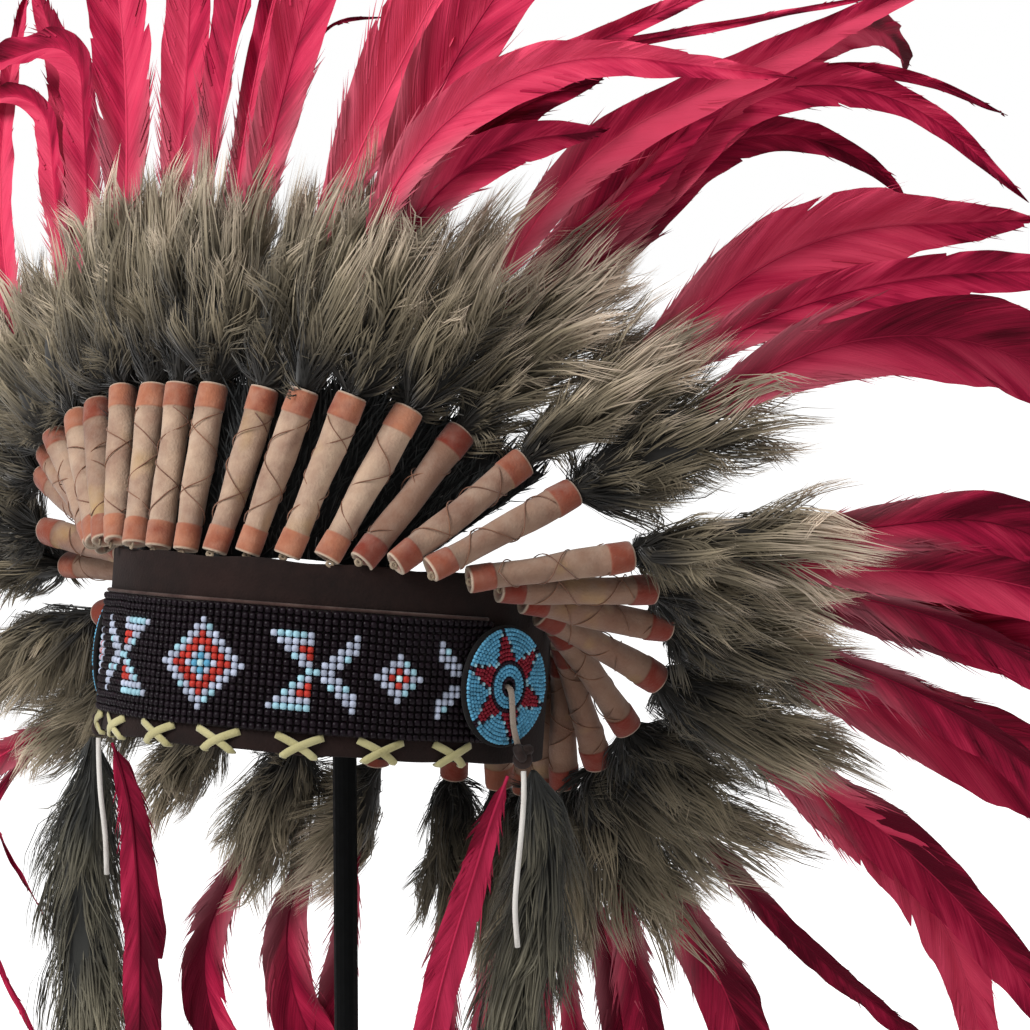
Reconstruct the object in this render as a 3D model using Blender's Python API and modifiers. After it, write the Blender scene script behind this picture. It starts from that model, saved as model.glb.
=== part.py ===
"""A feathered headdress on a plain round-based stand, in metres, +Z up.

The front of the headdress faces -Y and the wearer's left is +X. The origin is where the post's axis meets
the floor. The headdress is drawn level in its own frame, whose origin is the middle of the headband, and an
empty tips that frame back on the stand.

Quilled plumes are numbered round the headband: 0 at the front centre, 1 to 17 round by the wearer's left to
the back centre, and -1 to -16 round by the wearer's right.
"""

import math
from typing import NamedTuple

import bmesh
import bpy
import numpy as np
from mathutils import Matrix, Quaternion, Vector

MM = 0.001
GAP = 0.0003

# Headband: an oval of suede, 570 mm round, that carries everything else.
HEAD_GIRTH = 570 * MM
BAND_HALF_DEPTH = 93 * MM
BAND_TOP = 39.5 * MM
BAND_BOTTOM = -31.5 * MM
BAND_WALL = 2.5 * MM
BAND_SEGMENTS = 64

# Beaded strip on the front of the band, from temple to temple.
STRIP_HEIGHT = 47 * MM
STRIP_THICKNESS = 2.2 * MM
STRIP_GAP = 0.4 * MM
STRIP_REACH = 118 * MM
STRIP_COLUMNS = 36

# Round beaded rosette over each end of the strip.
ROSETTE_ALONG = 124 * MM
ROSETTE_RISE = -1 * MM
ROSETTE_TURN = math.radians(3)
FELT_RADIUS = 24 * MM
FELT_THICKNESS = 2.2 * MM
BEADED_RADIUS = 22 * MM
BEADED_THICKNESS = 1.6 * MM
ROSETTE_SEGMENTS = 32
# The flat disc clears the end of the strip under its front half.
ROSETTE_STANDOFF = 3.3 * MM

# Suede wrap round the foot of each quill.
WRAP_LENGTH = 66 * MM
WRAP_FOOT_RADIUS = 4.6 * MM
WRAP_HEAD_RADIUS = 5.8 * MM
WRAP_SIDES = 10

# Panel of dark fur that stands behind the wraps across the front, sewn to their backs.
BACKING_FIRST = -7
BACKING_LAST = 5.4
BACKING_COLUMNS = 25
BACKING_THICKNESS = 3 * MM
BACKING_BEHIND = 9 * MM
BACKING_UNDER_WRAPS = 0.8 * MM
BACKING_PAST_WRAPS = 2 * MM

# Plume: a tuft of fur round the quill, then one long curved feather.
TUFT_LENGTH = 98 * MM
FEATHER_ROOT = 70 * MM
TUFT_SIDES = 8
FEATHER_SIDES = 6
FEATHER_SECTIONS = 9
PATH_STEPS = 48

# Knot under each rosette, and the strap that ties it to the rosette's middle.
KNOT_WIDTH = 11 * MM
KNOT_DEPTH = 7 * MM
KNOT_HEIGHT = 11 * MM
KNOT_ROUNDING = 2.5 * MM
KNOT_STANDOFF = 1.3 * MM
STRAP_WIDTH = 3.4 * MM
STRAP_THICKNESS = 1.4 * MM
STRAP_TOP = 1 * MM
THONG_DIAMETER = 2.2 * MM
THONG_POINT_SPACING = 5 * MM
FUR_STRIP_SIDES = 10
DROP_FEATHER_SIDES = 6

# Stand and how the headdress sits on it.
BAND_CENTRE = Vector((0, -12 * MM, 480 * MM))
PITCH_BACK = math.radians(9.2)
BASE_RADIUS = 130 * MM
BASE_THICKNESS = 6 * MM
COLLAR_RADIUS = 12 * MM
COLLAR_TOP = 20 * MM
POST_RADIUS = 5 * MM
ARM_RADIUS = 4 * MM
ARM_HEIGHT = 488 * MM
ARM_DROP = 9 * MM
POST_OVER_ARM = 6 * MM
ARM_END_GAP = 1.5 * MM


class WrapStation(NamedTuple):
    """Where a quill's wrap starts on the headband and which way it leans, in the headdress's frame."""

    shaft: int
    along: float  # mm round the band's outer face from the front centre
    outset: float  # mm out from that face
    rise: float  # mm over the middle of the beaded strip
    side: float  # lean towards the wearer's left
    back: float
    up: float


class PlumeStation(NamedTuple):
    """How long a plume is past its wrap, and the bend that ends in the direction side, back, up."""

    shaft: int
    length: float  # mm
    bend_from: float  # fraction of the length
    bend_to: float
    side: float
    back: float
    up: float


WRAP_STATIONS = (
    WrapStation(-16, -262, 8.2, 14.4, -0.28, 0.32, -0.91),
    WrapStation(-15, -240, 8.2, 17.1, -0.45, 0.28, -0.85),
    WrapStation(-14, -219, 8.2, 20.4, -0.65, 0.24, -0.72),
    WrapStation(-13, -199, 8.2, 24.4, -0.83, 0.21, -0.52),
    WrapStation(-12, -180, 8.3, 28.7, -0.94, 0.20, -0.27),
    WrapStation(-11, -164, 8.5, 32.9, -0.98, 0.20, -0.01),
    WrapStation(-10, -148, 8.7, 36.5, -0.96, 0.22, 0.15),
    WrapStation(-9, -132, 9.0, 39.9, -0.85, 0.26, 0.46),
    WrapStation(-8, -116, 9.1, 42.0, -0.74, 0.33, 0.58),
    WrapStation(-7, -100, 9.1, 43.1, -0.64, 0.39, 0.66),
    WrapStation(-6, -87, 7.0, 43.5, -0.50, 0.39, 0.78),
    WrapStation(-5, -75, 4.4, 43.6, -0.38, 0.36, 0.85),
    WrapStation(-4, -62, 2.1, 43.7, -0.22, 0.27, 0.94),
    WrapStation(-3, -47, -0.6, 43.0, -0.12, 0.25, 0.96),
    WrapStation(-2, -32, -2.9, 42.4, -0.06, 0.20, 0.98),
    WrapStation(-1, -17, -4.4, 42.1, 0.00, 0.17, 0.99),
    WrapStation(0, -2, -5.0, 42.3, 0.16, 0.16, 0.97),
    WrapStation(1, 13, -5.0, 42.9, 0.23, 0.12, 0.96),
    WrapStation(2, 30, -4.4, 42.9, 0.26, 0.16, 0.95),
    WrapStation(3, 46, -2.8, 42.8, 0.29, 0.32, 0.90),
    WrapStation(4, 59, -0.1, 42.7, 0.32, 0.50, 0.81),
    WrapStation(5, 71, 3.8, 42.7, 0.48, 0.58, 0.66),
    WrapStation(6, 83, 7.8, 41.6, 0.57, 0.64, 0.52),
    WrapStation(7, 98, 9.4, 39.2, 0.71, 0.67, 0.21),
    WrapStation(8, 113, 8.0, 35.9, 0.64, 0.76, 0.07),
    WrapStation(9, 129, 6.0, 32.5, 0.58, 0.81, -0.10),
    WrapStation(10, 145, 4.7, 28.6, 0.42, 0.83, -0.36),
    WrapStation(11, 163, 4.6, 23.5, 0.16, 0.78, -0.61),
    WrapStation(12, 181, 4.7, 16.8, -0.01, 0.65, -0.76),
    WrapStation(13, 199, 5.3, 12.8, -0.16, 0.48, -0.86),
    WrapStation(14, 218, 6.1, 10.9, -0.19, 0.39, -0.90),
    WrapStation(15, 238, 7.0, 10.5, -0.16, 0.36, -0.92),
    WrapStation(16, 259, 7.7, 11.1, -0.14, 0.36, -0.92),
    WrapStation(17, 281, 8.1, 12.4, -0.16, 0.36, -0.92),
)

PLUME_STATIONS = (
    PlumeStation(-16, 290, 0.30, 1.00, 0.25, 0.30, -0.92),
    PlumeStation(-15, 290, 0.30, 1.00, -0.10, 0.26, -0.96),
    PlumeStation(-14, 280, 0.30, 1.00, -0.51, 0.43, -0.75),
    PlumeStation(-13, 290, 0.25, 0.70, 0.45, 0.14, -0.88),
    PlumeStation(-12, 300, 0.30, 1.00, -0.61, 0.32, -0.72),
    PlumeStation(-10, 300, 0.30, 1.00, -0.76, 0.35, -0.56),
    PlumeStation(-8, 300, 0.30, 1.00, -0.90, 0.35, -0.25),
    PlumeStation(-7, 290, 0.30, 1.00, -0.55, 0.23, 0.80),
    PlumeStation(-6, 290, 0.35, 0.60, -0.95, 0.15, -0.28),
    PlumeStation(-5, 290, 0.45, 0.75, -0.91, 0.16, -0.38),
    PlumeStation(-4, 290, 0.30, 1.00, -0.10, 0.25, 0.96),
    PlumeStation(-3, 290, 0.30, 1.00, 0.05, 0.25, 0.97),
    PlumeStation(-2, 300, 0.30, 1.00, 0.00, 0.30, 0.95),
    PlumeStation(-1, 300, 0.30, 1.00, 0.15, 0.30, 0.94),
    PlumeStation(0, 290, 0.10, 1.00, 0.41, 0.38, 0.83),
    PlumeStation(1, 300, 0.10, 1.00, 0.64, 0.47, 0.61),
    PlumeStation(2, 300, 0.35, 0.70, 0.84, 0.49, -0.22),
    PlumeStation(3, 300, 0.20, 1.00, 0.91, 0.38, 0.16),
    PlumeStation(4, 320, 0.45, 1.00, 0.60, 0.41, -0.69),
    PlumeStation(5, 300, 0.30, 1.00, 0.85, 0.45, -0.28),
    PlumeStation(6, 310, 0.38, 1.00, 0.45, 0.57, -0.69),
    PlumeStation(7, 300, 0.30, 1.00, 0.45, 0.52, -0.72),
    PlumeStation(8, 290, 0.10, 1.00, 0.50, 0.52, -0.70),
    PlumeStation(9, 290, 0.10, 1.00, 0.45, 0.48, -0.75),
    PlumeStation(10, 295, 0.30, 1.00, 0.10, 0.16, -0.98),
    PlumeStation(11, 300, 0.20, 1.00, 0.60, 0.50, -0.62),
    PlumeStation(12, 280, 0.10, 1.00, 0.20, 0.35, -0.91),
    PlumeStation(13, 280, 0.30, 1.00, 0.20, 0.30, -0.93),
    PlumeStation(14, 286, 0.30, 1.00, 0.15, 0.33, -0.93),
    PlumeStation(15, 286, 0.30, 1.00, 0.00, 0.31, -0.95),
    PlumeStation(16, 286, 0.30, 1.00, 0.00, 0.31, -0.95),
    PlumeStation(17, 286, 0.30, 1.00, 0.00, 0.31, -0.95),
)

# Plumes whose tufts run together, first and last shaft of each group. The tufts of two groups stay apart.
PLUME_GROUPS = (
    (-1, 1),
    (2, 4),
    (5, 6),
    (7, 9),
    (10, 12),
    (13, 17),
    (-16, -14),
    (-13, -12),
    (-11, -9),
    (-8, -5),
    (-4, -2),
)

# Half width against the spacing of the plumes, and half thickness in mm, at fractions of the tuft's length.
TUFT_PROFILE = (
    # fraction, share of spacing, half thickness, narrowest half width in mm
    (0.00, 0.00, 4.0, 4.5),
    (0.25, 0.62, 11.0, 8.0),
    (0.55, 0.62, 16.0, 10.0),
    (0.85, 0.60, 13.0, 9.0),
    (1.00, 0.45, 7.0, 5.0),
)
# A tuft's share of the spacing on the side where the next group starts.
GROUP_EDGE_SHARE = 0.47

# Half width and half thickness of a feather, in mm, at fractions of its length past the root.
FEATHER_PROFILE = (
    (0.00, 4.0, 2.5),
    (0.12, 7.0, 3.0),
    (0.35, 9.0, 3.0),
    (0.60, 8.5, 2.5),
    (0.85, 6.0, 1.8),
    (1.00, 1.2, 0.8),
)


def new_material(name, colour, roughness, metallic=0.0):
    """A Principled material of one colour."""
    material = bpy.data.materials.new(name)
    material.use_nodes = True
    shader = material.node_tree.nodes["Principled BSDF"]
    shader.inputs["Base Color"].default_value = (*colour, 1)
    shader.inputs["Roughness"].default_value = roughness
    shader.inputs["Metallic"].default_value = metallic
    return material


def add_object(name, mesh, material, parent=None, smooth_angle=None):
    """Put a mesh in the headdress collection as one named object."""
    mesh.materials.clear()
    mesh.materials.append(material)
    if smooth_angle is not None:
        mesh.shade_smooth()
        mesh.set_sharp_from_angle(angle=math.radians(smooth_angle))
    new_object = bpy.data.objects.new(name, mesh)
    bpy.data.collections["feathered_headdress"].objects.link(new_object)
    new_object.parent = parent
    return new_object


def mesh_from(bm, name):
    """Close a bmesh into a new mesh with its faces pointing out."""
    bmesh.ops.recalc_face_normals(bm, faces=bm.faces)
    mesh = bpy.data.meshes.new(name)
    bm.to_mesh(mesh)
    bm.free()
    return mesh


def loft(sections):
    """A closed bmesh through rings of points that all have the same count."""
    bm = bmesh.new()
    rings = [[bm.verts.new(point) for point in section] for section in sections]
    count = len(rings[0])
    for near, far in zip(rings, rings[1:]):
        for i in range(count):
            j = (i + 1) % count
            bm.faces.new((near[i], near[j], far[j], far[i]))
    bm.faces.new(rings[0][::-1])
    bm.faces.new(rings[-1])
    return bm


def united(pieces, name):
    """One mesh that is the union of several closed bmeshes, each of which meets the one before it."""
    scene_objects = bpy.context.scene.collection.objects
    whole = bpy.data.objects.new(name, mesh_from(pieces[0], name))
    scene_objects.link(whole)
    cutters = []
    for piece in pieces[1:]:
        cutter = bpy.data.objects.new(name + "_piece", mesh_from(piece, name + "_piece"))
        scene_objects.link(cutter)
        cutters.append(cutter)
        union = whole.modifiers.new("union", "BOOLEAN")
        union.operation = "UNION"
        union.solver = "EXACT"
        union.object = cutter
    evaluated = whole.evaluated_get(bpy.context.evaluated_depsgraph_get())
    mesh = bpy.data.meshes.new_from_object(evaluated)
    mesh.name = name
    for spare in [whole, *cutters]:
        bpy.data.objects.remove(spare)
    return mesh


def band_half_width():
    """Half the band's width across the ears, from its girth and its depth (Ramanujan's oval)."""
    low, high = 0.5 * BAND_HALF_DEPTH, 1.5 * BAND_HALF_DEPTH
    for _ in range(40):
        half_width = (low + high) / 2
        ratio = ((half_width - BAND_HALF_DEPTH) / (half_width + BAND_HALF_DEPTH)) ** 2
        girth = math.pi * (half_width + BAND_HALF_DEPTH) * (1 + 3 * ratio / (10 + math.sqrt(4 - 3 * ratio)))
        low, high = (half_width, high) if girth < HEAD_GIRTH else (low, half_width)
    return half_width


HALF_WIDTH = band_half_width()
TURNS = np.linspace(0, math.pi, 721)
ARC_LENGTHS = np.concatenate(
    ([0], np.cumsum(np.hypot(np.diff(HALF_WIDTH * np.sin(TURNS)), np.diff(BAND_HALF_DEPTH * np.cos(TURNS)))))
)


def rim_point(along, outset, rise):
    """The point so far round the band's outer face, so far out from it and so high, and the way out there."""
    turn = math.copysign(np.interp(abs(along), ARC_LENGTHS, TURNS), along)
    outward = Vector((BAND_HALF_DEPTH * math.sin(turn), -HALF_WIDTH * math.cos(turn), 0)).normalized()
    point = Vector((HALF_WIDTH * math.sin(turn), -BAND_HALF_DEPTH * math.cos(turn), rise))
    return point + outward * outset, outward


def between(stations, shaft):
    """The values of a table of stations at a shaft, in straight lines between its rows."""
    shafts = [row.shaft for row in stations]
    return [np.interp(shaft, shafts, column) for column in list(zip(*stations))[1:]]


def ring_shaft(shaft):
    """The same place round the ring, numbered from -16 to 17."""
    return (shaft + 16) % 34 - 16


def wrap_line(shaft):
    """The foot and the head of a shaft's wrap, and the way it points."""
    along, outset, rise, side, back, up = between(WRAP_STATIONS, ring_shaft(shaft))
    lean = Vector((side, back, up)).normalized()
    foot, _ = rim_point(along * MM, outset * MM, rise * MM)
    return foot, foot + lean * WRAP_LENGTH, lean


def plume_path(shaft):
    """Evenly spaced points of a plume's quill from the head of its wrap to the feather's tip, and its length."""
    _, point, start = wrap_line(shaft)
    length, bend_from, bend_to, side, back, up = between(PLUME_STATIONS, ring_shaft(shaft))
    length *= MM
    turn = start.rotation_difference(Vector((side, back, up)))
    points = [point]
    for step in range(PATH_STEPS):
        bend = ((step + 0.5) / PATH_STEPS - bend_from) / (bend_to - bend_from)
        heading = start.copy()
        heading.rotate(Quaternion().slerp(turn, min(max(bend, 0), 1)))
        point = point + heading * (length / PATH_STEPS)
        points.append(point)
    return points, length


def on_path(points, length, distance):
    """The point and the heading so far along a path of evenly spaced points."""
    place = min(max(distance / length, 0), 1) * (len(points) - 1)
    first = min(int(place), len(points) - 2)
    heading = (points[first + 1] - points[first]).normalized()
    return points[first].lerp(points[first + 1], place - first), heading


def oval(centre, across, through, left, right, half_thickness, sides):
    """A ring of points round a centre, whose two half widths may differ."""
    ring = []
    for i in range(sides):
        angle = 2 * math.pi * i / sides
        reach = right if math.cos(angle) > 0 else left
        ring.append(centre + across * (reach * math.cos(angle)) + through * (half_thickness * math.sin(angle)))
    return ring


def crosswise(shaft, distance):
    """A plume's point and heading at a distance, the way to the next plume, and the spacing on both sides."""
    point, heading = on_path(*plume_path(shaft), distance)
    after, _ = on_path(*plume_path(shaft + 1), distance)
    before, _ = on_path(*plume_path(shaft - 1), distance)
    across = after - before
    across = (across - heading * across.dot(heading)).normalized()
    return point, heading, across, (point - before).dot(across), (after - point).dot(across)


def tuft(shaft, group_starts, group_ends):
    """The outer form of the fur round one quill."""
    sections = []
    for fraction, share, thickness, narrowest in TUFT_PROFILE:
        distance = max(fraction * TUFT_LENGTH, GAP)
        point, heading, across, room_before, room_after = crosswise(shaft, distance)
        if fraction == 0:
            point = point + heading * GAP
        before_share = min(share, GROUP_EDGE_SHARE) if group_starts else share
        after_share = min(share, GROUP_EDGE_SHARE) if group_ends else share
        left = max(before_share * room_before, min(narrowest * MM, GROUP_EDGE_SHARE * room_before))
        right = max(after_share * room_after, min(narrowest * MM, GROUP_EDGE_SHARE * room_after))
        if fraction == 0:
            left = right = narrowest * MM
        through = heading.cross(across)
        sections.append(oval(point, across, through, left, right, thickness * MM, TUFT_SIDES))
    return loft(sections)


def feather(shaft):
    """The outer form of one long feather, from inside its tuft to its tip."""
    _, length = plume_path(shaft)
    fractions, widths, thicknesses = zip(*FEATHER_PROFILE)
    sections = []
    for fraction in np.linspace(0, 1, FEATHER_SECTIONS):
        point, heading, across, _, _ = crosswise(shaft, FEATHER_ROOT + fraction * (length - FEATHER_ROOT))
        through = heading.cross(across)
        width = np.interp(fraction, fractions, widths) * MM
        thickness = np.interp(fraction, fractions, thicknesses) * MM
        sections.append(oval(point, across, through, width, width, thickness, FEATHER_SIDES))
    return loft(sections)


def build_plumes(headdress, material):
    """Each group of plumes as one solid."""
    for number, (first, last) in enumerate(PLUME_GROUPS, start=1):
        shafts = range(first, last + 1)
        pieces = [tuft(shaft, shaft == first, shaft == last) for shaft in shafts]
        pieces += [feather(shaft) for shaft in shafts]
        name = f"plume_group_{number:02d}"
        add_object(name, united(pieces, name), material, headdress, smooth_angle=50)


def build_wraps(headdress, material):
    """The tapered suede wrap of each quill."""
    bm = bmesh.new()
    bmesh.ops.create_cone(
        bm,
        cap_ends=True,
        segments=WRAP_SIDES,
        radius1=WRAP_FOOT_RADIUS,
        radius2=WRAP_HEAD_RADIUS,
        depth=WRAP_LENGTH,
        matrix=Matrix.Translation((0, 0, WRAP_LENGTH / 2)),
    )
    mesh = mesh_from(bm, "quill_wrap")
    for number, shaft in enumerate([*range(0, 18), *range(-16, 0)], start=1):
        foot, _, lean = wrap_line(shaft)
        wrap = add_object(f"quill_wrap_{number:02d}", mesh, material, headdress, smooth_angle=50)
        wrap.location = foot
        wrap.rotation_mode = "QUATERNION"
        wrap.rotation_quaternion = lean.to_track_quat("Z", "Y")


def build_fur_backing(headdress, material):
    """The panel behind the front wraps, as a loft of upright sections from the wearer's right to the left."""
    sections = []
    for shaft in np.linspace(BACKING_FIRST, BACKING_LAST, BACKING_COLUMNS):
        foot, head, lean = wrap_line(shaft)
        across = (wrap_line(shaft + 0.5)[1] - wrap_line(shaft - 0.5)[1]).normalized()
        inward = lean.cross(across).normalized()
        low = foot - lean * BACKING_UNDER_WRAPS
        high = head + lean * BACKING_PAST_WRAPS
        near = BACKING_BEHIND - BACKING_THICKNESS / 2
        far = BACKING_BEHIND + BACKING_THICKNESS / 2
        front = [low.lerp(high, t) + inward * near for t in (0, 0.5, 1)]
        back = [low.lerp(high, t) + inward * far for t in (1, 0.5, 0)]
        sections.append(front + back)
    add_object("fur_backing", mesh_from(loft(sections), "fur_backing"), material, headdress, smooth_angle=50)


def build_headband(headdress, material):
    """The suede wall of the band: an oval ring, raised and thickened inwards."""
    bm = bmesh.new()
    turned = [2 * math.pi * i / BAND_SEGMENTS for i in range(BAND_SEGMENTS)]
    ring = [bm.verts.new((HALF_WIDTH * math.sin(t), -BAND_HALF_DEPTH * math.cos(t), BAND_BOTTOM)) for t in turned]
    edges = [bm.edges.new((a, b)) for a, b in zip(ring, ring[1:] + ring[:1])]
    raised = bmesh.ops.extrude_edge_only(bm, edges=edges)["geom"]
    lifted = [item for item in raised if isinstance(item, bmesh.types.BMVert)]
    bmesh.ops.translate(bm, verts=lifted, vec=(0, 0, BAND_TOP - BAND_BOTTOM))
    band = add_object("headband", mesh_from(bm, "headband"), material, headdress, smooth_angle=50)
    wall = band.modifiers.new("wall", "SOLIDIFY")
    wall.thickness = BAND_WALL
    wall.offset = -1
    wall.use_even_offset = True


def build_bead_strip(headdress, material):
    """The beaded strip: a curved patch just clear of the band's front."""
    bm = bmesh.new()
    half = STRIP_HEIGHT / 2
    chain = []
    for along in np.linspace(-STRIP_REACH, STRIP_REACH, STRIP_COLUMNS + 1):
        point, _ = rim_point(along, STRIP_GAP + STRIP_THICKNESS, -half)
        chain.append(bm.verts.new(point))
    edges = [bm.edges.new(pair) for pair in zip(chain, chain[1:])]
    raised = bmesh.ops.extrude_edge_only(bm, edges=edges)["geom"]
    lifted = [item for item in raised if isinstance(item, bmesh.types.BMVert)]
    bmesh.ops.translate(bm, verts=lifted, vec=(0, 0, STRIP_HEIGHT))
    for face in bm.faces:
        face.normal_update()
        if face.normal.dot(face.calc_center_median()) < 0:
            face.normal_flip()
    mesh = bpy.data.meshes.new("bead_strip")
    bm.to_mesh(mesh)
    bm.free()
    strip = add_object("bead_strip", mesh, material, headdress, smooth_angle=50)
    backing = strip.modifiers.new("backing", "SOLIDIFY")
    backing.thickness = STRIP_THICKNESS
    backing.offset = -1


def tipped():
    """The headdress's frame on the stand."""
    return Matrix.Translation(BAND_CENTRE) @ Matrix.Rotation(-PITCH_BACK, 4, "X")


def rosette_place(sign):
    """The middle of a rosette's back and the frame whose Z points out of it and Y up."""
    centre, outward = rim_point(sign * ROSETTE_ALONG, ROSETTE_STANDOFF, ROSETTE_RISE)
    outward.rotate(Matrix.Rotation(-sign * ROSETTE_TURN, 3, "Z"))
    upward = Vector((0, 0, 1))
    turned = Matrix((upward.cross(outward), upward, outward)).transposed()
    return centre, turned


def build_rosette(headdress, side, sign, material):
    """A felt disc with a raised beaded face."""
    bm = bmesh.new()
    bmesh.ops.create_cone(
        bm,
        cap_ends=True,
        segments=ROSETTE_SEGMENTS,
        radius1=FELT_RADIUS,
        radius2=FELT_RADIUS,
        depth=FELT_THICKNESS,
        matrix=Matrix.Translation((0, 0, FELT_THICKNESS / 2)),
    )
    top = [face for face in bm.faces if face.normal.z > 0.9]
    bmesh.ops.inset_region(bm, faces=top, thickness=FELT_RADIUS - BEADED_RADIUS)
    raised = bmesh.ops.extrude_face_region(bm, geom=top)["geom"]
    bmesh.ops.delete(bm, geom=top, context="FACES_ONLY")
    lifted = [item for item in raised if isinstance(item, bmesh.types.BMVert)]
    bmesh.ops.translate(bm, verts=lifted, vec=(0, 0, BEADED_THICKNESS))
    rosette = add_object(f"rosette_{side}", mesh_from(bm, f"rosette_{side}"), material, headdress, smooth_angle=40)
    centre, turned = rosette_place(sign)
    rosette.matrix_local = Matrix.Translation(centre) @ turned.to_4x4()


class DropSide(NamedTuple):
    """How the things under one rosette hang: the knot's place on the rosette and the way their faces turn."""

    side: str
    sign: int  # 1 at the wearer's left
    knot_back: float  # mm
    knot_down: float  # mm
    facing: float  # degrees from the front towards the wearer's left


class DropStop(NamedTuple):
    """One section of a hanging solid, in mm from the middle of its knot."""

    down: float
    across: float  # towards the wearer's left when facing is 0
    ahead: float
    half_width: float
    half_thickness: float


LEFT_DROPS = DropSide("left", 1, 5.5, 26, 28)
RIGHT_DROPS = DropSide("right", -1, 8, 31, 10)

FUR_STRIPS = {
    "left": (
        DropStop(6.0, 4.0, -1.0, 1.5, 1.5),
        DropStop(25, 7.0, -8.0, 9, 6),
        DropStop(50, 8.0, -12.0, 13, 8),
        DropStop(80, 3.0, -13.0, 17, 10),
        DropStop(110, -3.0, -12.0, 18, 11),
        DropStop(155, -4.0, -9.0, 17, 10),
        DropStop(195, -3.0, -7.0, 8, 6),
    ),
    "right": (
        DropStop(6.0, -4.0, -1.0, 1.5, 1.5),
        DropStop(31, -11.0, -6.0, 9, 6),
        DropStop(57, -16.0, -9.0, 15, 8),
        DropStop(84, -18.0, -10.0, 18, 10),
        DropStop(110, -15.0, -10.0, 18, 11),
        DropStop(150, -12.0, -9.0, 17, 10),
        DropStop(195, -10.0, -8.0, 8, 6),
    ),
}
DROP_FEATHERS = {
    "left": (
        DropStop(6.0, -4.0, 1.0, 1.2, 1.2),
        DropStop(26, -11.0, 3.0, 5.2, 1.8),
        DropStop(47, -16.0, 5.0, 6.3, 2.2),
        DropStop(87, -26.0, 7.0, 7.0, 2.2),
        DropStop(125, -34.0, 8.0, 6.5, 2.0),
        DropStop(168, -41.0, 8.0, 1.5, 1.0),
    ),
    "right": (
        DropStop(6.0, 4.0, 1.0, 1.2, 1.2),
        DropStop(24, 8.0, 3.0, 5.5, 1.8),
        DropStop(44, 11.5, 5.0, 7.0, 2.2),
        DropStop(80, 13.5, 6.0, 8.3, 2.2),
        DropStop(125, 12.5, 6.0, 7.0, 2.0),
        DropStop(168, 8.0, 5.0, 1.5, 1.0),
    ),
}
THONGS = {
    "left": (
        DropStop(6.0, 0.3, 1.5, 1.1, 1.1),
        DropStop(16, 0.4, 3.5, 1.1, 1.1),
        DropStop(30, -0.6, 4.5, 1.1, 1.1),
        DropStop(47, -2.2, 4.0, 1.1, 1.1),
        DropStop(60, -3.0, 4.6, 1.1, 1.1),
        DropStop(75, -2.0, 4.2, 1.1, 1.1),
    ),
    "right": (
        DropStop(6.0, -0.3, 1.5, 1.1, 1.1),
        DropStop(16, 0.4, 3.0, 1.1, 1.1),
        DropStop(30, 1.2, 3.4, 1.1, 1.1),
        DropStop(47, 2.0, 1.5, 1.1, 1.1),
        DropStop(64, 2.2, 1.0, 1.1, 1.1),
    ),
}


def knot_place(drops):
    """The middle of a knot and the frame of what hangs from it: X across, Y up, Z ahead, all on the stand."""
    centre, turned = rosette_place(drops.sign)
    out = FELT_THICKNESS + BEADED_THICKNESS + KNOT_DEPTH / 2 + KNOT_STANDOFF
    knot = centre + turned @ Vector((drops.sign * drops.knot_back * MM, -drops.knot_down * MM, out))
    facing = math.radians(drops.facing)
    across = Vector((math.cos(facing), math.sin(facing), 0))
    ahead = Vector((math.sin(facing), -math.cos(facing), 0))
    return tipped() @ knot, Matrix((across, Vector((0, 0, 1)), ahead)).transposed()


def drop_point(drops, stop):
    """The middle of a hanging section, on the stand."""
    knot, turned = knot_place(drops)
    return knot + turned @ Vector((stop.across, -stop.down, stop.ahead)) * MM


def build_knot(drops, material):
    """The leather knot under a rosette, with the strap over the rosette's face that holds it."""
    knot, _ = knot_place(drops)
    centre, rosette = rosette_place(drops.sign)
    frame = tipped()
    outward = (frame.to_3x3() @ rosette.col[2]).xy.to_3d().normalized()
    upward = Vector((0, 0, 1))
    upright = Matrix((upward.cross(outward), upward, outward)).transposed().to_4x4()
    block = bmesh.new()
    size = Matrix.Diagonal((KNOT_WIDTH, KNOT_HEIGHT, KNOT_DEPTH, 1))
    bmesh.ops.create_cube(block, size=1, matrix=Matrix.Translation(knot) @ upright @ size)
    bmesh.ops.bevel(block, geom=block.edges, offset=KNOT_ROUNDING, segments=3, profile=0.5, affect="EDGES")

    face = FELT_THICKNESS + BEADED_THICKNESS + GAP + STRAP_THICKNESS / 2
    top = centre + rosette @ Vector((0, -STRAP_TOP, face))
    rim = centre + rosette @ Vector((drops.sign * drops.knot_back * MM * 0.8, -BEADED_RADIUS + 2 * MM, face))
    end = frame.inverted() @ knot
    sections = []
    for middle in (top, rim, end):
        wide = rosette @ Vector((STRAP_WIDTH / 2, 0, 0))
        thick = rosette @ Vector((0, 0, STRAP_THICKNESS / 2))
        corners = (-wide - thick, wide - thick, wide + thick, -wide + thick)
        sections.append([frame @ (middle + corner) for corner in corners])
    name = f"knot_{drops.side}"
    add_object(name, united([block, loft(sections)], name), material, smooth_angle=50)


def build_hanging(name, drops, stops, sides, material):
    """A thing that hangs from a knot, as a loft through its stops."""
    _, turned = knot_place(drops)
    sections = [
        oval(
            drop_point(drops, stop),
            turned @ Vector((1, 0, 0)),
            turned @ Vector((0, 0, 1)),
            stop.half_width * MM,
            stop.half_width * MM,
            stop.half_thickness * MM,
            sides,
        )
        for stop in stops
    ]
    add_object(name, mesh_from(loft(sections), name), material, smooth_angle=50)


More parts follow.
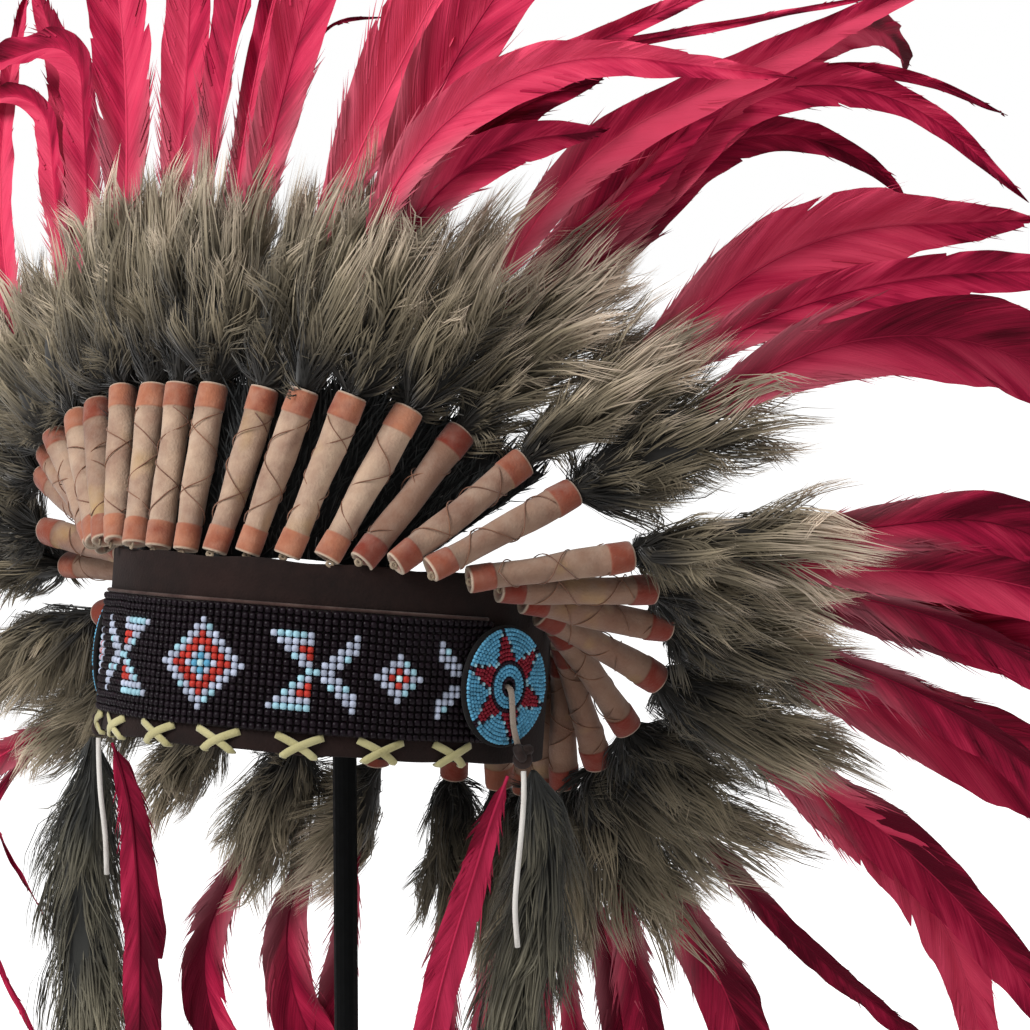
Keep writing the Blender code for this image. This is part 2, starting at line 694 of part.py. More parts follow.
def build_thong(drops, material):
    """A short thong that hangs free from the knot, as a tube on a smooth line through its stops."""
    curve = bpy.data.curves.new(f"thong_{drops.side}", "CURVE")
    curve.dimensions = "3D"
    curve.bevel_depth = THONG_DIAMETER / 2
    curve.bevel_resolution = 2
    curve.use_fill_caps = True
    curve.materials.append(material)
    line = smooth_line([drop_point(drops, stop) for stop in THONGS[drops.side]])
    spline = curve.splines.new("POLY")
    spline.points.add(len(line) - 1)
    for place, point in zip(spline.points, line):
        place.co = (*point, 1)
    thong = bpy.data.objects.new(f"thong_{drops.side}", curve)
    bpy.data.collections["feathered_headdress"].objects.link(thong)


def smooth_line(points):
    """Points of a Catmull-Rom curve through the given ones."""
    ends = [points[0] * 2 - points[1], *points, points[-1] * 2 - points[-2]]
    line = []
    for a, b, c, d in zip(ends, ends[1:], ends[2:], ends[3:]):
        steps = max(1, round((c - b).length / THONG_POINT_SPACING))
        for step in range(steps):
            t = step / steps
            bent = (c - a) * t + (2 * a - 5 * b + 4 * c - d) * t**2 + (3 * b - a - 3 * c + d) * t**3
            line.append(b + 0.5 * bent)
    return [*line, points[-1]]


def rod(start, end, radius, sides=16):
    """A closed cylinder between two points."""
    bm = bmesh.new()
    way = end - start
    place = Matrix.Translation((start + end) / 2) @ way.to_track_quat("Z", "Y").to_matrix().to_4x4()
    bmesh.ops.create_cone(
        bm, cap_ends=True, segments=sides, radius1=radius, radius2=radius, depth=way.length, matrix=place
    )
    return bm


def inner_reach(half_width, half_depth, off_centre):
    """How far the inside of the band's wall is from the middle line, so far ahead of or behind its centre."""
    return (half_width - BAND_WALL) * math.sqrt(1 - (off_centre / (half_depth - BAND_WALL)) ** 2)


def build_stand(material):
    """A weighted round base, and a post whose top carries two crossed arms inside the headband."""
    profile = bmesh.new()
    outline = (
        (0, COLLAR_TOP),
        (COLLAR_RADIUS - 1 * MM, COLLAR_TOP),
        (COLLAR_RADIUS, COLLAR_TOP - 1 * MM),
        (COLLAR_RADIUS, BASE_THICKNESS + 1 * MM),
        (BASE_RADIUS - 3 * MM, BASE_THICKNESS),
        (BASE_RADIUS, BASE_THICKNESS - 2 * MM),
        (BASE_RADIUS, 1 * MM),
        (BASE_RADIUS - 1 * MM, 0),
        (0, 0),
    )
    corners = [profile.verts.new((x, 0, z)) for x, z in outline]
    for pair in zip(corners, corners[1:]):
        profile.edges.new(pair)
    mesh = bpy.data.meshes.new("stand_base")
    profile.to_mesh(mesh)
    profile.free()
    base = add_object("stand_base", mesh, material)
    turn = base.modifiers.new("turn", "SCREW")
    turn.steps = 48
    turn.render_steps = 48
    turn.use_merge_vertices = True
    turn.merge_threshold = 0.00001

    long_arm = ARM_HEIGHT - ARM_DROP
    cross_reach = inner_reach(HALF_WIDTH, BAND_HALF_DEPTH, BAND_CENTRE.y) - ARM_END_GAP
    long_reach = (BAND_HALF_DEPTH - BAND_WALL - ARM_RADIUS * math.tan(PITCH_BACK)) / math.cos(PITCH_BACK)
    middle = BAND_CENTRE.y + (long_arm - BAND_CENTRE.z) * math.tan(PITCH_BACK)
    front = middle - long_reach + ARM_END_GAP
    back = middle + long_reach - ARM_END_GAP
    pieces = [
        rod(Vector((0, 0, COLLAR_TOP + GAP)), Vector((0, 0, ARM_HEIGHT + POST_OVER_ARM)), POST_RADIUS),
        rod(Vector((-cross_reach, 0, ARM_HEIGHT)), Vector((cross_reach, 0, ARM_HEIGHT)), ARM_RADIUS, 12),
        rod(Vector((0, front, long_arm)), Vector((0, back, long_arm)), ARM_RADIUS, 12),
    ]
    add_object("stand_post", united(pieces, "stand_post"), material, smooth_angle=40)


def main():
    for old in list(bpy.data.objects):
        bpy.data.objects.remove(old)
    collection = bpy.data.collections.new("feathered_headdress")
    bpy.context.scene.collection.children.link(collection)
    headdress = bpy.data.objects.new("headdress_frame", None)
    collection.objects.link(headdress)
    headdress.matrix_world = tipped()

    suede = new_material("suede", (0.030, 0.016, 0.013), 0.9)
    beads = new_material("beads", (0.020, 0.010, 0.016), 0.3)
    rosette_beads = new_material("rosette_beads", (0.12, 0.36, 0.55), 0.3)
    wrap_suede = new_material("wrap_suede", (0.42, 0.27, 0.20), 0.85)
    plume = new_material("plume", (0.60, 0.04, 0.12), 0.6)
    fur = new_material("fur", (0.16, 0.14, 0.10), 0.9)
    thong_leather = new_material("thong_leather", (0.55, 0.50, 0.42), 0.7)
    knot_leather = new_material("knot_leather", (0.10, 0.05, 0.035), 0.8)
    stand_paint = new_material("stand_paint", (0.010, 0.011, 0.013), 0.4)

    build_headband(headdress, suede)
    build_bead_strip(headdress, beads)
    build_wraps(headdress, wrap_suede)
    build_plumes(headdress, plume)
    build_fur_backing(headdress, fur)
    for drops in (LEFT_DROPS, RIGHT_DROPS):
        side = drops.side
        build_rosette(headdress, side, drops.sign, rosette_beads)
        build_knot(drops, knot_leather)
        build_hanging(f"fur_strip_{side}", drops, FUR_STRIPS[side], FUR_STRIP_SIDES, fur)
        build_hanging(f"drop_feather_{side}", drops, DROP_FEATHERS[side], DROP_FEATHER_SIDES, plume)
        build_thong(drops, thong_leather)
    build_stand(stand_paint)


if __name__ == "__main__":
    main()
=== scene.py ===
"""Looks of a feathered headdress on its stand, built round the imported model.

Everything is in metres with +Z up. The front of the headdress faces -Y and the wearer's left is +X. The
headdress has a frame of its own, level and centred in the headband, which is tipped back on the stand.
Quills are numbered round the headband: 0 at the front centre, 1 to 17 round by the wearer's left to the
back centre, and -1 to -16 round by the wearer's right.
"""

import logging
import math
from dataclasses import dataclass, field, replace
from enum import Enum
from functools import cache, cached_property
from typing import Callable, NamedTuple, Sequence

import bmesh
import bpy
import numpy as np
from mathutils import Matrix, Vector


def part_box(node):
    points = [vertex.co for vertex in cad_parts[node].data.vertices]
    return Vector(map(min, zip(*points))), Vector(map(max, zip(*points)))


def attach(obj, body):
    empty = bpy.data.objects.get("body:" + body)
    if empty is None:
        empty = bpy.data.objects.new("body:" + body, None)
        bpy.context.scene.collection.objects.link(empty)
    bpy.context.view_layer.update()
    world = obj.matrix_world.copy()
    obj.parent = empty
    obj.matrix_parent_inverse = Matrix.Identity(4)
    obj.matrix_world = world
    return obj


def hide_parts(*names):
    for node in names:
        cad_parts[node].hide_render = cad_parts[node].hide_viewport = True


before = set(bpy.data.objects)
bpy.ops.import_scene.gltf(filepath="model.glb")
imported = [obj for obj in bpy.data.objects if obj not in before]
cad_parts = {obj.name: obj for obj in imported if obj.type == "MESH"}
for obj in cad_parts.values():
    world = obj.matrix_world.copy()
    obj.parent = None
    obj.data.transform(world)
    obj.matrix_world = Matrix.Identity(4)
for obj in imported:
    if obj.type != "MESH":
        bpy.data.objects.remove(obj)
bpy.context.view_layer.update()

Array = np.ndarray
Rng = np.random.Generator
Mesh = bmesh.types.BMesh
Material = bpy.types.Material
Socket = bpy.types.NodeSocket
Tree = bpy.types.NodeTree
Edge = bmesh.types.BMEdge
Triple = tuple[float, float, float]
Colour = tuple[float, float, float, float]
Solid = tuple[Array, list[Array]]  # vertices, and faces grouped by their number of corners
Pair = tuple[float, float]
Outline = tuple[Pair, ...]

LOG = logging.getLogger("headdress")
MM = .001
SEED = 41
ROOT = "root"
FULL_TURN = 2 * math.pi
WELD = .01 * MM  # vertices closer than this are one

BAND_CENTRE = np.array((0, -12, 480)) * MM
PITCH_BACK = math.radians(9.2)
TILT = np.array(Matrix.Rotation(-PITCH_BACK, 3, "X"))


# ---- small sums


def unit(rows: Array) -> Array:
    """Return the rows of an array at length one."""
    return rows / np.maximum(np.linalg.norm(rows, axis=-1, keepdims=True), 1e-12)


def to_stand(points: Array) -> Array:
    """Return points of the headdress's frame as they stand on the post."""
    return np.asarray(points) @ TILT.T + BAND_CENTRE


def linear(digits: str) -> Colour:
    """Return the colour of six hexadecimal digits in linear light, with an alpha of one."""
    parts = [int(digits[i : i + 2], 16) / 255 for i in (0, 2, 4)]
    return (*[p / 12.92 if p <= .04045 else ((p + .055) / 1.055) ** 2.4 for p in parts], 1)


def ripple(places: Array, wavelength: float, rng: Rng) -> Array:
    """Return smooth random waves between about -1 and 1.

    Args:
        places: Where to read the waves, in metres.
        wavelength: The longest wave, in metres.
        rng: The source of their phases.

    Returns:
        One height for each place.
    """
    total = np.zeros_like(np.asarray(places, float))
    for share, faster in ((.5, 1), (.3, 1.73), (.2, 3.1)):
        total += share * np.sin(FULL_TURN * faster * places / wavelength + rng.uniform(0, FULL_TURN))
    return total


def turned(vector: Array, axis: Array, degrees: float) -> Array:
    """Return a vector turned round an axis."""
    return np.array(Matrix.Rotation(math.radians(degrees), 3, Vector(axis)) @ Vector(vector))


def smooth_line(points: Array, spacing: float) -> Array:
    """Return a Catmull-Rom curve through points.

    Args:
        points: The points that it passes.
        spacing: About how far apart its points are.

    Returns:
        The curve's points.
    """
    ends = [2 * points[0] - points[1], *points, 2 * points[-1] - points[-2]]
    line = []
    for a, b, c, d in zip(ends, ends[1:], ends[2:], ends[3:]):
        steps = max(1, round(float(np.linalg.norm(c - b)) / spacing))
        for step in range(steps):
            t = step / steps
            bent = (c - a) * t + (2 * a - 5 * b + 4 * c - d) * t**2 + (3 * b - a - 3 * c + d) * t**3
            line.append(b + .5 * bent)
    return np.array([*line, points[-1]])


def line_length(line: Array) -> float:
    """Return the length of a line through points."""
    return float(np.linalg.norm(np.diff(line, axis=0), axis=1).sum())


def seeded(number: int) -> Rng:
    """Return the source of chance of one sub-assembly."""
    return np.random.default_rng(SEED + number)


def circle(sides: int) -> tuple[Array, Array]:
    """Return the cosines and the sines of so many even steps round a circle."""
    angles = FULL_TURN * np.arange(sides) / sides
    return np.cos(angles), np.sin(angles)


# ---- meshes from many small things


def finished(
    mesh: bpy.types.Mesh, name: str, material: Material, replaces: Sequence[str] = ()
) -> bpy.types.Object:
    """Link a mesh as one piece that rides on the root body.

    Args:
        mesh: The piece's mesh, in place.
        name: The piece's name.
        material: Its finish.
        replaces: CAD nodes that it stands for.

    Returns:
        The new object.
    """
    mesh.materials.append(material)
    mesh.shade_smooth()
    piece = bpy.data.objects.new(name, mesh)
    bpy.context.scene.collection.objects.link(piece)
    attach(piece, ROOT)
    if replaces:
        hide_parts(*replaces)
    LOG.info("%s: %d faces", name, len(mesh.polygons))
    return piece


def mesh_of(bm: Mesh, name: str) -> bpy.types.Mesh:
    """Free a bmesh and return it as a mesh.

    Args:
        bm: The bmesh.
        name: The mesh's name.

    Returns:
        The mesh.
    """
    mesh = bpy.data.meshes.new(name)
    bm.to_mesh(mesh)
    bm.free()
    return mesh


class Pattern(NamedTuple):
    """A small mesh to lay many times, with the row and the column of each vertex."""

    rows: Array
    columns: Array
    faces: list[Array]


def arrays_of(bm: Mesh) -> Solid:
    """Free a bmesh and return its vertices and its faces.

    Args:
        bm: The bmesh.

    Returns:
        The vertices, and the faces grouped by their number of corners.
    """
    bm.verts.index_update()
    points = np.array([vert.co for vert in bm.verts])
    faces = [[vert.index for vert in face.verts] for face in bm.faces]
    bm.free()
    groups = [np.array([f for f in faces if len(f) == size]) for size in sorted({len(f) for f in faces})]
    return points, groups


def spun(outline: Sequence[Pair], steps: int, closed: bool) -> Solid:
    """Return a solid of revolution round Z.

    Args:
        outline: Radius and height of each point of its outline.
        steps: Faces round it.
        closed: Whether the outline's last point joins its first; if not, its two ends are filled.

    Returns:
        Its vertices and its grouped faces.
    """
    bm = bmesh.new()
    verts = [bm.verts.new((radius, 0, height)) for radius, height in outline]
    edges = [bm.edges.new(pair) for pair in zip(verts, verts[1:] + verts[:1] * closed)]
    bmesh.ops.spin(
        bm, geom=verts + edges, cent=(0, 0, 0), axis=(0, 0, 1), angle=FULL_TURN, steps=steps, use_merge=True
    )
    bmesh.ops.remove_doubles(bm, verts=bm.verts, dist=WELD)
    if not closed:
        bmesh.ops.holes_fill(bm, edges=bm.edges, sides=steps)
    bmesh.ops.recalc_face_normals(bm, faces=bm.faces)
    return arrays_of(bm)


def raise_rim(bm: Mesh, edges: list[Edge], rise: float) -> list[Edge]:
    """Extrude a ring of edges upwards.

    Args:
        bm: The bmesh.
        edges: The ring.
        rise: How far up.

    Returns:
        The new ring.
    """
    raised = bmesh.ops.extrude_edge_only(bm, edges=edges)["geom"]
    verts = {item for item in raised if isinstance(item, bmesh.types.BMVert)}
    bmesh.ops.translate(bm, vec=(0, 0, rise), verts=list(verts))
    return [item for item in raised if isinstance(item, Edge) and verts.issuperset(item.verts)]


@cache
def sheet_pattern(rows: int, columns: int, pointed: bool = False) -> Pattern:
    """Return an open grid.

    Args:
        rows: Faces along it.
        columns: Faces across it.
        pointed: Whether its last row is merged to a point.

    Returns:
        The pattern.
    """
    bm = bmesh.new()
    bmesh.ops.create_grid(bm, x_segments=columns, y_segments=rows, size=1)
    if pointed:
        tip = [vert for vert in bm.verts if vert.co.y > .999]
        bmesh.ops.pointmerge(bm, verts=tip, merge_co=tip[0].co)
    places = [((vert.co.y + 1) / 2 * rows, (vert.co.x + 1) / 2 * columns) for vert in bm.verts]
    row, column = np.round(np.array(places)).astype(int).T
    return Pattern(row, column, arrays_of(bm)[1])


@cache
def pipe_pattern(rings: int, sides: int) -> Pattern:
    """Return a closed pipe, its faces outward when its rings follow each other upwards.

    Args:
        rings: Rings of vertices along it.
        sides: Corners of each ring.

    Returns:
        The pattern.
    """
    bm = bmesh.new()
    bmesh.ops.create_circle(bm, segments=sides, radius=1)
    edges = bm.edges[:]
    for _ in range(rings - 1):
        edges = raise_rim(bm, edges, 1)
    bmesh.ops.holes_fill(bm, edges=bm.edges[:], sides=0)
    bmesh.ops.recalc_face_normals(bm, faces=bm.faces)
    places = [(vert.co.z, math.atan2(vert.co.y, vert.co.x) * sides / FULL_TURN) for vert in bm.verts]
    ring, corner = np.round(np.array(places)).astype(int).T
    return Pattern(ring, corner % sides, arrays_of(bm)[1])


def copied(faces: Sequence[Array], size: int, copies: int) -> list[Array]:
    """Return groups of faces repeated for copies of so many vertices each."""
    shift = size * np.arange(copies)[:, None, None]
    return [(group[None] + shift).reshape(-1, group.shape[1]) for group in faces]


@dataclass
class Bundle:
    """Vertices, faces and point attributes gathered for one joined piece."""

    points: list[Array] = field(default_factory=list)
    faces: list[Array] = field(default_factory=list)
    attributes: dict[str, list[Array]] = field(default_factory=dict)
    count: int = 0

    def add(self, points: Array, faces: Sequence[Array], **attributes: Array | float) -> None:
        """Add some geometry.

        Args:
            points: Vertices, one a row.
            faces: Arrays of vertex numbers, one face a row.
            attributes: Values for each vertex or one for all, by name.
        """
        self.points.append(points)
        self.faces.extend(group + self.count for group in faces)
        for name, values in attributes.items():
            shape = (len(points), *np.shape(values)[1:])
            self.attributes.setdefault(name, []).append(np.broadcast_to(values, shape))
        self.count += len(points)

    def mesh(self, name: str) -> bpy.types.Mesh:
        """Return the gathered geometry as a mesh.

        Args:
            name: The mesh's name.

        Returns:
            The mesh.
        """
        mesh = bpy.data.meshes.new(name)
        points = np.concatenate(self.points)
        corners = np.concatenate([group.ravel() for group in self.faces])
        sizes = np.concatenate([np.full(len(group), group.shape[1]) for group in self.faces])
        mesh.vertices.add(len(points))
        mesh.vertices.foreach_set("co", points.astype(np.float32).ravel())
        mesh.loops.add(len(corners))
        mesh.loops.foreach_set("vertex_index", corners.astype(np.int32))
        mesh.polygons.add(len(sizes))
        starts = np.concatenate(([0], np.cumsum(sizes)[:-1]))
        mesh.polygons.foreach_set("loop_start", starts.astype(np.int32))
        mesh.update(calc_edges=True)
        mesh.validate()
        for key, parts in self.attributes.items():
            values = np.concatenate(parts).astype(np.float32)
            kind, fill = ("FLOAT", "value") if values.ndim == 1 else ("FLOAT_COLOR", "color")
            mesh.attributes.new(key, kind, "POINT").data.foreach_set(fill, values.ravel())
        return mesh

    def build(self, name: str, material: Material, slot: str, *replaces: str) -> bpy.types.Object:
        """Make the gathered geometry one finished piece."""
        return finished(self.mesh(name), name, material, replaces)

    def lay(self, pattern: Pattern, table: Array, **attributes: Array | float) -> None:
        """Add copies of a pattern, each laid out by its own table of points.

        Args:
            pattern: The mesh that is laid.
            table: Its points by copy, row and column; one copy needs no first axis.
            attributes: Values for the table, by name.
        """
        table = table[None] if table.ndim == 3 else table
        points = table[:, pattern.rows, pattern.columns]
        copies, size = points.shape[:2]
        spread = {}
        for name, values in attributes.items():
            whole = np.broadcast_to(values, table.shape[:-1])
            spread[name] = whole[:, pattern.rows, pattern.columns].ravel()
        self.add(points.reshape(-1, 3), copied(pattern.faces, size, copies), **spread)

    def copies(self, shape: Solid, places: Array, axes: Array, **attributes: Array) -> None:
        """Add copies of a small shape.

        Args:
            shape: The shape.
            places: The middle of each copy.
            axes: Each copy's X, Y and Z as the rows of a matrix.
            attributes: One value or row for each copy, by name.
        """
        points, faces = shape
        made = (points[None] @ axes + places[:, None]).reshape(-1, 3)
        spread = {name: np.repeat(values, len(points), axis=0) for name, values in attributes.items()}
        self.add(made, copied(faces, len(points), len(places)), **spread)

    def strands(self, lines: Array, facing: Array, widths: Array, **attributes: Array) -> None:
        """Add flat strands that taper to a point.

        Args:
            lines: The middle of each, by strand and section, from the root.
            facing: The way that each one faces.
            widths: Their widths at each section.
            attributes: Values by strand and section.
        """
        side = unit(np.cross(unit(np.gradient(lines, axis=1)), facing[:, None, :]))
        half = side * widths[:, :, None] / 2
        half[:, -1] = 0
        table = np.stack((lines - half, lines + half), axis=2)
        pattern = sheet_pattern(lines.shape[1] - 1, 1, pointed=True)
        self.lay(pattern, table, **{name: values[..., None] for name, values in attributes.items()})

    def tube(
        self, line: Array, radii: Array | float, sides: int, flatness: float = 1, **attributes: float
    ) -> None:
        """Add a closed tube.

        Args:
            line: Points of its middle.
            radii: Its radius at each point.
            sides: Corners of its section.
            flatness: Its thickness against its width.
            attributes: One value for the whole tube, by name.
        """
        way = unit(np.gradient(line, axis=0))
        across = np.empty_like(line)
        across[0] = unit(np.cross(way[0], (0, 0, 1) if abs(way[0, 2]) < .9 else (1, 0, 0)))
        for i in range(1, len(line)):
            across[i] = unit(across[i - 1] - way[i] * np.dot(across[i - 1], way[i]))
        cosines, sines = (part[None, :, None] for part in circle(sides))
        ring = across[:, None] * cosines + np.cross(way, across)[:, None] * sines * flatness
        table = line[:, None] + ring * np.broadcast_to(radii, len(line))[:, None, None]
        self.lay(pipe_pattern(len(line), sides), table, **attributes)


# ---- shader groups


class Graph:
    """A node tree with short ways to add and join nodes."""

    def __init__(self, tree: Tree) -> None:
        """Keep the tree."""
        self.tree = tree

    def node(self, kind: str, inputs: dict | None = None, **settings: object) -> bpy.types.Node:
        """Add a node.

        Args:
            kind: The node's type, without ShaderNode in front.
            inputs: Values, digits of colours or sockets for its inputs, by name or number.
            settings: Its properties.

        Returns:
            The node.
        """
        made = self.tree.nodes.new(kind if kind.startswith("NodeGroup") else "ShaderNode" + kind)
        for key, value in settings.items():
            setattr(made, key, value)
        for key, value in (inputs or {}).items():
            if isinstance(value, Socket):
                self.tree.links.new(value, made.inputs[key])
            else:
                made.inputs[key].default_value = linear(value) if isinstance(value, str) else value
        return made

    @cached_property
    def place(self) -> Socket:
        """Return the piece's own coordinates."""
        return self.node("TexCoord").outputs["Object"]

    @cached_property
    def upward(self) -> Socket:
        """Return how far the surface faces up."""
        return self.node("SeparateXYZ", {0: self.node("NewGeometry").outputs["Normal"]}).outputs["Z"]

    def read(self, name: str, output: str = "Fac") -> Socket:
        """Return a point attribute."""
        return self.node("Attribute", attribute_name=name).outputs[output]

    def noise(self, scale: object, detail: float = 2, place: Socket | None = None, **more: float) -> Socket:
        """Return soft noise over the piece or over other coordinates."""
        inputs = {"Vector": place or self.place, "Scale": scale, "Detail": detail, **more}
        return self.node("TexNoise", inputs).outputs[0]

    def mix(self, factor: object, first: object, second: object, blend: str = "MIX") -> Socket:
        """Return the mix of two colours."""
        made = self.node("Mix", {0: factor, 6: first, 7: second}, data_type="RGBA", blend_type=blend)
        return made.outputs[2]

    def sum(self, operation: str, *values: object, clamp: bool = False) -> Socket:
        """Return the result of one sum on numbers or sockets."""
        made = self.node("Math", dict(enumerate(values)), operation=operation, use_clamp=clamp)
        return made.outputs[0]

    def spread(self, value: object, low: float, high: float, to_low: float = 0, to_high: float = 1) -> Socket:
        """Return a value moved from one range to another, and kept in it."""
        return self.node("MapRange", {0: value, 1: low, 2: high, 3: to_low, 4: to_high}).outputs[0]

    def group(self, tree: Tree, inputs: dict) -> bpy.types.bpy_prop_collection:
        """Return the outputs of a shared effect placed in this tree, with its own values."""
        return self.node("Group", inputs, node_tree=tree).outputs


class Effect(Graph):
    """A shared shader group: named inputs and outputs, built once."""

    def __init__(self, name: str, inputs: dict[str, float | Colour], *outputs: str) -> None:
        """Make the group's interface.

        Args:
            name: The group's name.
            inputs: First values of the inputs, numbers or colours, by name.
            outputs: Names of the outputs, numbers unless the name is Colour.
        """
        super().__init__(bpy.data.node_groups.new(name, "ShaderNodeTree"))
        for key, value in inputs.items():
            kind = "NodeSocketColor" if isinstance(value, tuple) else "NodeSocketFloat"
            self.tree.interface.new_socket(key, in_out="INPUT", socket_type=kind).default_value = value
        for key in outputs:
            kind = "NodeSocketColor" if key == "Colour" else "NodeSocketFloat"
            self.tree.interface.new_socket(key, in_out="OUTPUT", socket_type=kind)
        self.given = self.node("NodeGroupInput").outputs
        self.results = self.node("NodeGroupOutput").inputs

    def put(self, name: str, value: Socket) -> None:
        """Join a socket to one of the group's outputs."""
        self.tree.links.new(value, self.results[name])


def grain_effect() -> Tree:
    """Return the fine nap of suede, leather and felt: a height and a mask of its pits."""
    made = Effect("nap_grain", {"Scale": 900, "Patch Scale": 60}, "Height", "Pits")
    fine = made.noise(made.given["Scale"], 3)
    made.put("Height", made.sum("MULTIPLY_ADD", made.noise(made.given["Patch Scale"]), .6, fine))
    made.put("Pits", made.spread(fine, .35, .6))
    return made.tree


def mottle_effect() -> Tree:
    """Return uneven dye: two colours in soft patches."""
    first = {"Light": (.5, .5, .5, 1), "Dark": (.2, .2, .2, 1), "Scale": 40, "Shift": 0}
    made = Effect("uneven_dye", first, "Colour")
    cloud = made.noise(made.given["Scale"], 4, Roughness=.6)
    share = made.sum("ADD", made.spread(cloud, .32, .68), made.given["Shift"], clamp=True)
    made.put("Colour", made.mix(share, made.given["Dark"], made.given["Light"]))
    return made.tree


def dust_effect() -> Tree:
    """Return a colour with pale dust on what faces up and in patches."""
    plain = (.5, .5, .5, 1)
    made = Effect("settled_dust", {"Colour": plain, "Dust": plain, "Amount": .2}, "Colour")
    patchy = made.spread(made.noise(180, 5), .4, .7)
    lying = made.sum("MULTIPLY", made.spread(made.upward, -.2, 1, .25, 1), patchy)
    share = made.sum("MULTIPLY", lying, made.given["Amount"])
    made.put("Colour", made.mix(share, made.given["Colour"], made.given["Dust"]))
    return made.tree


def hair_effect() -> Tree:
    """Return a hair's colour from root to tip, by the attributes shade and tone."""
    grey = (.2, .2, .2, 1)
    made = Effect("hair_colour", {"Root": grey, "Middle": grey, "Tip": grey, "Tip Start": .7}, "Colour")
    shade, tone = made.read("shade"), made.read("tone")
    early = made.mix(made.spread(shade, .2, .62), made.given["Root"], made.given["Middle"])
    late = made.spread(shade, made.given["Tip Start"], 1)
    late = made.sum("MULTIPLY", late, made.spread(tone, 0, .55, .2, 1))
    tipped = made.mix(late, early, made.given["Tip"])
    light = made.sum("MULTIPLY_ADD", tone, .6, made.spread(made.noise(26), .3, .7, .55, .95))
    lit = made.node("CombineColor", {0: light, 1: light, 2: light}).outputs[0]
    made.put("Colour", made.mix(1, tipped, lit, "MULTIPLY"))
    return made.tree


GRAIN, MOTTLE, DUST, HAIR = grain_effect(), mottle_effect(), dust_effect(), hair_effect()


# ---- finishes


class Coat(Graph):
    """The graph of one material, round its Principled shader."""

    def __init__(self, name: str, roughness: float, specular: float | None = None, sheen: float = 0) -> None:
        """Start a material.

        Args:
            name: The material's name.
            roughness: How matt it is.
            specular: How strong its reflection is, or the shader's own.
            sheen: How much it shines at its edges.
        """
        self.material = bpy.data.materials.new(name)
        self.material.use_nodes = True
        super().__init__(self.material.node_tree)
        self.inputs = self.tree.nodes["Principled BSDF"].inputs
        self.inputs["Roughness"].default_value = roughness
        self.inputs["Sheen Weight"].default_value = sheen
        if specular is not None:
            self.inputs["Specular IOR Level"].default_value = specular

    def feed(self, key: str, value: Socket) -> None:
        """Join a socket to one of the shader's inputs."""
        self.tree.links.new(value, self.inputs[key])

    def dust(self, colour: Socket, dust: str, amount: float) -> None:
        """Feed a colour with some dust on it to the shader."""
        made = self.group(DUST, {"Colour": colour, "Dust": dust, "Amount": amount})
        self.feed("Base Color", made[0])

    def bump(self, height: Socket, distance: float, strength: float = 1) -> None:
        """Feed a height, in metres, to the shader's normal."""
        made = self.node("Bump", {"Height": height, "Distance": distance, "Strength": strength})
        self.feed("Normal", made.outputs[0])


@dataclass(frozen=True)
class Nap:
    """Suede, leather or felt: uneven dye, a fine nap and a little dust."""

    name: str
    light: str
    dark: str
    roughness: float = .9
    grain: float = 900
    relief: float = .0002
    sheen: float = .25
    dust: float = .15
    dust_colour: str = "8a8076"

    def material(self) -> Material:
        """Return the finish as a material."""
        coat = Coat(self.name, self.roughness, .2, self.sheen)
        dye = coat.group(MOTTLE, {"Light": self.light, "Dark": self.dark, "Scale": 45})
        nap = coat.group(GRAIN, {"Scale": self.grain})
        pitted = coat.mix(coat.sum("MULTIPLY", nap["Pits"], .35), dye[0], self.light)
        coat.dust(pitted, self.dust_colour, self.dust)
        coat.bump(nap["Height"], self.relief)
        return coat.material


@dataclass(frozen=True)
class SeedBeads:
    """Opaque glass beads, each in the colour of its attribute tint."""

    name: str
    roughness: float = .34
    smear: float = .25

    def material(self) -> Material:
        """Return the finish as a material."""
        coat = Coat(self.name, self.roughness, .15)
        cloud = coat.noise(240)
        value = coat.spread(cloud, .3, .7, .75, 1.15)
        uneven = coat.node("HueSaturation", {"Value": value, "Color": coat.read("tint", "Color")})
        coat.feed("Base Color", uneven.outputs[0])
        coat.feed("Roughness", coat.spread(cloud, .35, .7, self.roughness, self.roughness + self.smear))
        return coat.material


